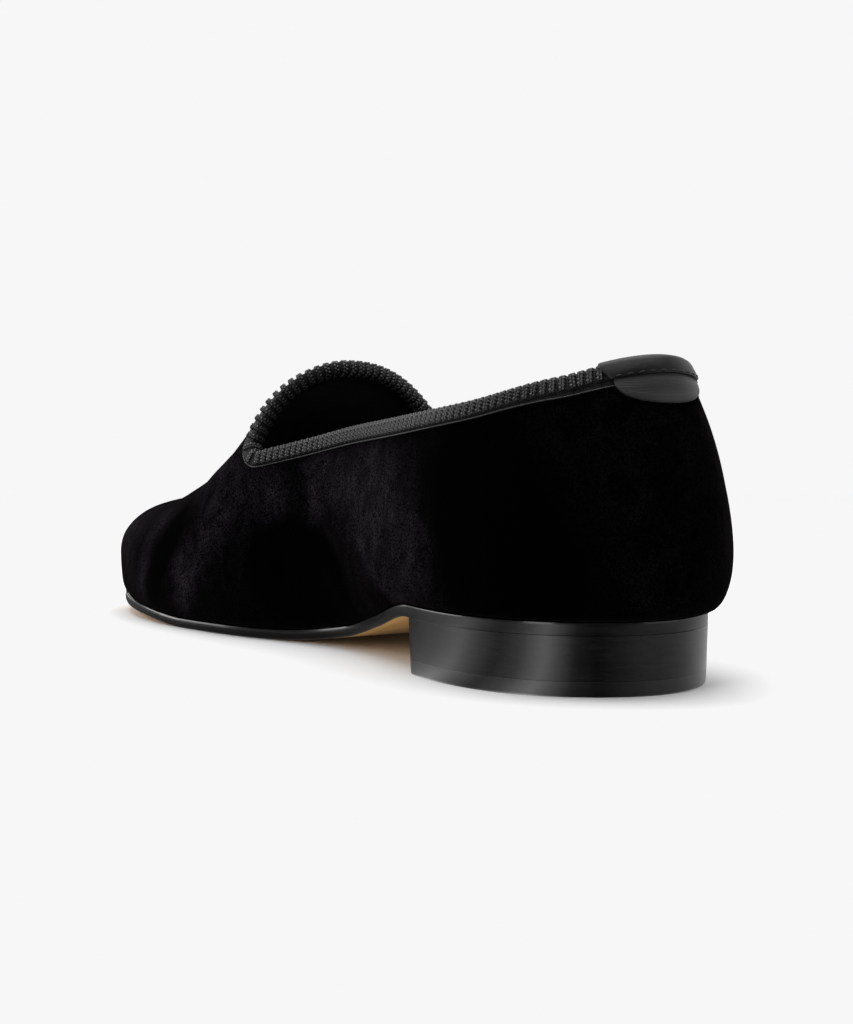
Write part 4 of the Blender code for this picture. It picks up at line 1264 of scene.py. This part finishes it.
def makeInsole():
    length = lastForm["length"]
    start, stop = lastForm["heelCentre"] * length, lastForm["toeCentre"] * length
    middle = np.linspace(start, stop, 90)[1:-1]
    base = upperForm["wall"] + lastForm["gap"]
    loops, heights = [], []
    for inset, rise in ((0.5, 0.0), (0.0, 0.35), (0.1, 0.7), (0.6, 0.95), (1.6, 1.0)):
        edge = movedOutline(soleOutline, -insoleForm["inset"] - inset * insoleForm["round"])
        first, last = sidesOf(edge)[0][0], sidesOf(edge)[1][0]
        loop = loopOf(edge, endsAndMiddle(first, start, middle, stop, last, 24))
        loops.append(loop)
        heights.append(soleLine(loop[:, 0]) + base + insoleForm["thickness"] * rise)
    piece = slabPiece("leatherInsole", loops, heights, [sockLeather], [0] * len(loops))
    finishPiece(piece, ["insole"], 50)


makeInsole()


heelForm = {
    "topPiece": 3.8 * mm,
    "taper": 0.5 * mm,  # how much narrower the heel is at the floor, on each side
    "breastHollow": 1.6 * mm,
    "cornerRadius": 0.6 * mm,
    "breastAhead": 2.2 * mm,  # in front of the solid's breast
    "ease": 0.04 * mm,  # how much the edges at the seams are broken
    "seam": 0.02 * mm,
}


def heelLoop(inset):
    # the heel in plan, with rounded breast corners and a slightly hollow breast
    edge = movedOutline(soleEdgeLine, -inset)
    heel, _, inner, outer = sidesOf(edge)
    breast = lastForm["breast"] * lastForm["length"] + heelForm["breastAhead"] - inset * 0.4
    split = breast * 0.55
    stations = np.concatenate([towardsEnd(heel[0], split, 40), np.linspace(split, breast, 26)[1:]])
    there = rowsAt(inner, stations)[:, :2]
    back = rowsAt(outer, stations)[:, :2]
    t = np.linspace(0, 1, 41)[1:-1, None]
    line = there[-1] + (back[-1] - there[-1]) * t
    line[:, 0] -= (4 * t * (1 - t))[:, 0] * heelForm["breastHollow"]
    ring = np.concatenate([[heel[:2]], there, line, back[::-1]])
    corner = heelForm["cornerRadius"]
    near = np.minimum(np.linalg.norm(ring - there[-1], axis=1), np.linalg.norm(ring - back[-1], axis=1))
    # takes the sharp corners off the breast
    eased = (np.roll(ring, 1, 0) + ring * 2 + np.roll(ring, -1, 0)) / 4
    return ring + (eased - ring) * np.exp(-((near / corner) ** 2))[:, None]


def heelPiece(name, levels, material, node):
    # levels: height above the floor and how far the side stands in
    rings = [heelLoop(inset) for _, inset in levels]
    count = len(rings[0])
    points = [(x, y, z) for ring, (z, _) in zip(rings, levels) for x, y in ring]
    faces = []
    for level in range(len(levels) - 1):
        for j in range(count):
            a, b = level * count + j, level * count + (j + 1) % count
            faces.append((a, b, b + count, a + count))
    faces += [tuple(range(count))[::-1], tuple((len(levels) - 1) * count + j for j in range(count))]
    piece = newPiece(name, points, faces, [material])
    finishPiece(piece, [node], 35)


def heelInset(z):
    return heelForm["taper"] * (1 - z / lastForm["heelHeight"])


def makeHeel():
    ease, seam, top = heelForm["ease"], heelForm["seam"], heelForm["topPiece"]
    low = top + seam
    high = lastForm["heelHeight"] - seam
    levels = [(low, heelInset(low) + ease), (low + ease, heelInset(low))]
    levels += [(high - ease, 0.0), (high, ease)]
    heelPiece("stackedHeel", levels, heelLeather, "heel_stack")
    worn = heelInset(0)
    levels = [(0.0, worn + 0.45 * mm), (0.35 * mm, worn + 0.08 * mm), (0.8 * mm, worn)]
    levels += [(top - ease, heelInset(top)), (top, heelInset(top) + ease)]
    heelPiece("topPiece", levels, topRubber, "top_piece")


makeHeel()
print("pieces made")

# The stage: lengths in metres, powers in watts
stageForm = {
    "tone": "#f7f7f7",  # of the background and of the brightest white
    "reach": 8.0,
    "litReach": 0.42,  # the paper shows its shadows this far out, and is blank from the next one on
    "blankReach": 1.1,
    "paper": 0.88,
    "heelCentre": 33 * mm,
    "cardStrength": 2.0,
    "dimShare": 0.08,  # what is left of the room's light in front of the shoe
    "viewWay": (0.849, -0.528, 0.0),  # the way from the front to beyond the shoe
    "overheadHeight": 1.3,
    "overheadSide": 1.5,
    "overheadPower": 21,
    "aim": (-0.12, 0, 0.03),  # where the upright lamps point, near the heel
}

# The cards that the heel mirrors: way in degrees round the heel's middle, and share of the full strength
cardRow = namedtuple("cardRow", "way tone")
cardTable = (
    cardRow(-180, 0.14),
    cardRow(-165, 0.15),
    cardRow(-110, 0.22),
    cardRow(-60, 0.20),
    cardRow(-10, 0.05),
    cardRow(24, 0.04),
    cardRow(41, 0.20),
    cardRow(55, 0.52),
    cardRow(67, 0.28),
    cardRow(82, 0.09),
    cardRow(98, 0.30),
    cardRow(114, 0.95),
    cardRow(124, 0.42),
    cardRow(134, 0.07),
    cardRow(148, 0.01),
    cardRow(165, 0.08),
    cardRow(180, 0.14),
)


def makeStage():
    reach = stageForm["reach"]
    mesh = bpy.data.meshes.new("studioFloor")
    corners = [(-reach, -reach, 0), (reach, -reach, 0), (reach, reach, 0), (-reach, reach, 0)]
    mesh.from_pydata(corners, [], [(0, 1, 2, 3)])
    floor = bpy.data.objects.new("studioFloor", mesh)
    bpy.context.scene.collection.objects.link(floor)
    # white paper near the shoe, fading to the even tone of the background before the horizon
    made = bpy.data.materials.new("whitePaper")
    made.use_nodes = True
    tree = made.node_tree
    tree.nodes.remove(tree.nodes["Principled BSDF"])
    place = addNode(tree, "ShaderNodeTexCoord")
    away = addNode(tree, "ShaderNodeVectorMath", {"operation": "LENGTH"}, {0: place.outputs["Object"]})
    share = addNode(
        tree, "ShaderNodeMapRange",
        {
            "interpolation_type": "SMOOTHSTEP",
            "From Min": stageForm["litReach"], "From Max": stageForm["blankReach"],
        },
        {"Value": away.outputs["Value"]},
    )
    paper = addNode(tree, "ShaderNodeBsdfDiffuse", {"Color": (stageForm["paper"],) * 3 + (1,)})
    blank = addNode(tree, "ShaderNodeEmission", {"Color": fromHex(stageForm["tone"])})
    mixed = addNode(
        tree, "ShaderNodeMixShader", None,
        {0: share.outputs["Result"], 1: paper.outputs[0], 2: blank.outputs[0]},
    )
    # polished leather mirrors pale and dark cards round the heel, as in a studio, and not the white paper
    ray = addNode(tree, "ShaderNodeLightPath")
    centre = (stageForm["heelCentre"] + frameShift[0], frameShift[1], 0)
    fromHeel = addNode(
        tree, "ShaderNodeVectorMath", {"operation": "SUBTRACT", 1: centre}, {0: place.outputs["Object"]}
    )
    parts = addNode(tree, "ShaderNodeSeparateXYZ", None, {0: fromHeel.outputs["Vector"]})
    way = addNode(
        tree, "ShaderNodeMath", {"operation": "ARCTAN2"}, {0: parts.outputs["Y"], 1: parts.outputs["X"]}
    )
    turn = addNode(
        tree, "ShaderNodeMapRange", {"From Min": -math.pi, "From Max": math.pi}, {"Value": way.outputs[0]}
    )
    ramp = addNode(tree, "ShaderNodeValToRGB", None, {"Fac": turn.outputs["Result"]})
    stops = ramp.color_ramp.elements
    stops.remove(stops[0])
    for index, row in enumerate(cardTable):
        stop = stops[0] if index == 0 else stops.new(row.way / 360 + 0.5)
        stop.position = row.way / 360 + 0.5
        stop.color = (row.tone, row.tone, row.tone, 1)
    card = addNode(
        tree, "ShaderNodeEmission", {"Strength": stageForm["cardStrength"]}, {"Color": ramp.outputs["Color"]}
    )
    seen = addNode(
        tree, "ShaderNodeMixShader", None,
        {0: ray.outputs["Is Glossy Ray"], 1: mixed.outputs[0], 2: card.outputs[0]},
    )
    tree.links.new(seen.outputs[0], tree.nodes["Material Output"].inputs["Surface"])
    mesh.materials.append(made)


def makeRoom():
    # an even pale tone all round, as seen, and light that comes mostly from beyond the shoe
    world = bpy.data.worlds.new("softRoom")
    world.use_nodes = True
    tree = world.node_tree
    place = addNode(tree, "ShaderNodeTexCoord")
    facing = addNode(
        tree, "ShaderNodeVectorMath", {"operation": "DOT_PRODUCT", 1: stageForm["viewWay"]},
        {0: place.outputs["Generated"]},
    )
    share = addNode(
        tree, "ShaderNodeMapRange",
        {"interpolation_type": "SMOOTHSTEP", "From Min": -0.1, "From Max": 0.45},
        {"Value": facing.outputs["Value"]},
    )
    tone = fromHex(stageForm["tone"])
    dim = tuple(v * stageForm["dimShare"] for v in tone[:3]) + (1,)
    mixed = addNode(
        tree, "ShaderNodeMix", {"data_type": "RGBA", 6: dim, 7: tone}, {0: share.outputs["Result"]}
    )
    ray = addNode(tree, "ShaderNodeLightPath")
    seen = addNode(
        tree, "ShaderNodeMix", {"data_type": "RGBA", 7: tone},
        {0: ray.outputs["Is Camera Ray"], 6: mixed.outputs[2]},
    )
    tree.links.new(seen.outputs[2], tree.nodes["Background"].inputs["Color"])
    bpy.context.scene.world = world


def addPanel(name, place, aim, width, height, power):
    lamp = bpy.data.lights.new(name, "AREA")
    lamp.shape = "RECTANGLE"
    lamp.size = width
    lamp.size_y = height
    lamp.energy = power
    panel = bpy.data.objects.new(name, lamp)
    panel.location = place
    panel.rotation_euler = (Vector(aim) - Vector(place)).to_track_quat("-Z", "Y").to_euler()
    bpy.context.scene.collection.objects.link(panel)


makeStage()
makeRoom()


def setPicture():
    # plain picture, its white held at the tone of the background, as in an overlit studio picture
    view = bpy.context.scene.view_settings
    view.view_transform = "Standard"
    view.use_curve_mapping = True
    mapping = view.curve_mapping
    mapping.extend = "HORIZONTAL"
    white = fromHex(stageForm["tone"])[0]
    line = mapping.curves[3]
    line.points[1].location = (1.0, white)
    line.points.new(white, white)
    for point in line.points:
        point.handle_type = "VECTOR"
    mapping.update()


setPicture()
# One wide lamp overhead, and upright ones that lie on the heel as soft bands; way is degrees round the shoe
panelRow = namedtuple("panelRow", "name way distance height width tall power")
panelTable = (
    panelRow("sideBand", 32, 1.0, 0.30, 0.55, 0.8, 3.4),
    panelRow("rearBand", 104, 1.0, 0.30, 0.40, 0.8, 3.2),
    panelRow("farFill", -145, 1.1, 0.35, 1.10, 0.8, 2.2),
)
side = stageForm["overheadSide"]
addPanel("overhead", (0, 0, stageForm["overheadHeight"]), (0, 0, 0), side, side, stageForm["overheadPower"])
aim = stageForm["aim"]
for row in panelTable:
    turned = math.radians(row.way)
    spot = (aim[0] + row.distance * math.cos(turned), row.distance * math.sin(turned), row.height)
    addPanel(row.name, spot, aim, row.width, row.tall, row.power)

cameraForm = {
    "target": (100 * mm, 0.0),  # on the last's own lengths, heel at zero
    "distance": 541.6 * mm,
    "height": 69.1 * mm,
    "azimuth": 1.004,  # angles in radians; turn, pitch and roll take it off the target
    "turn": 0.011,
    "pitch": 0.053,
    "roll": -0.004,
    "focalPixels": 1896,
    "imageHeight": 1024,
}


def makeCamera():
    form = cameraForm
    data = bpy.data.cameras.new("photoCamera")
    data.sensor_width = 36
    data.lens = form["focalPixels"] * data.sensor_width / form["imageHeight"]
    data.clip_start = 0.01
    camera = bpy.data.objects.new("photoCamera", data)
    azimuth = form["azimuth"]
    camera.location = (
        form["target"][0] - math.sin(azimuth) * form["distance"] + frameShift[0],
        form["target"][1] + math.cos(azimuth) * form["distance"] + frameShift[1],
        form["height"],
    )
    yaw = azimuth + form["turn"]
    forward = Vector((
        math.sin(yaw) * math.cos(form["pitch"]), -math.cos(yaw) * math.cos(form["pitch"]),
        -math.sin(form["pitch"]),
    ))
    level = Vector((-math.cos(yaw), -math.sin(yaw), 0))
    upright = level.cross(forward)
    right = level * math.cos(form["roll"]) + upright * math.sin(form["roll"])
    up = upright * math.cos(form["roll"]) - level * math.sin(form["roll"])
    axes = Matrix((right, up, -forward)).transposed()
    camera.rotation_euler = axes.to_euler()
    bpy.context.scene.collection.objects.link(camera)
    bpy.context.scene.camera = camera


makeCamera()
print("stage, light and camera made")
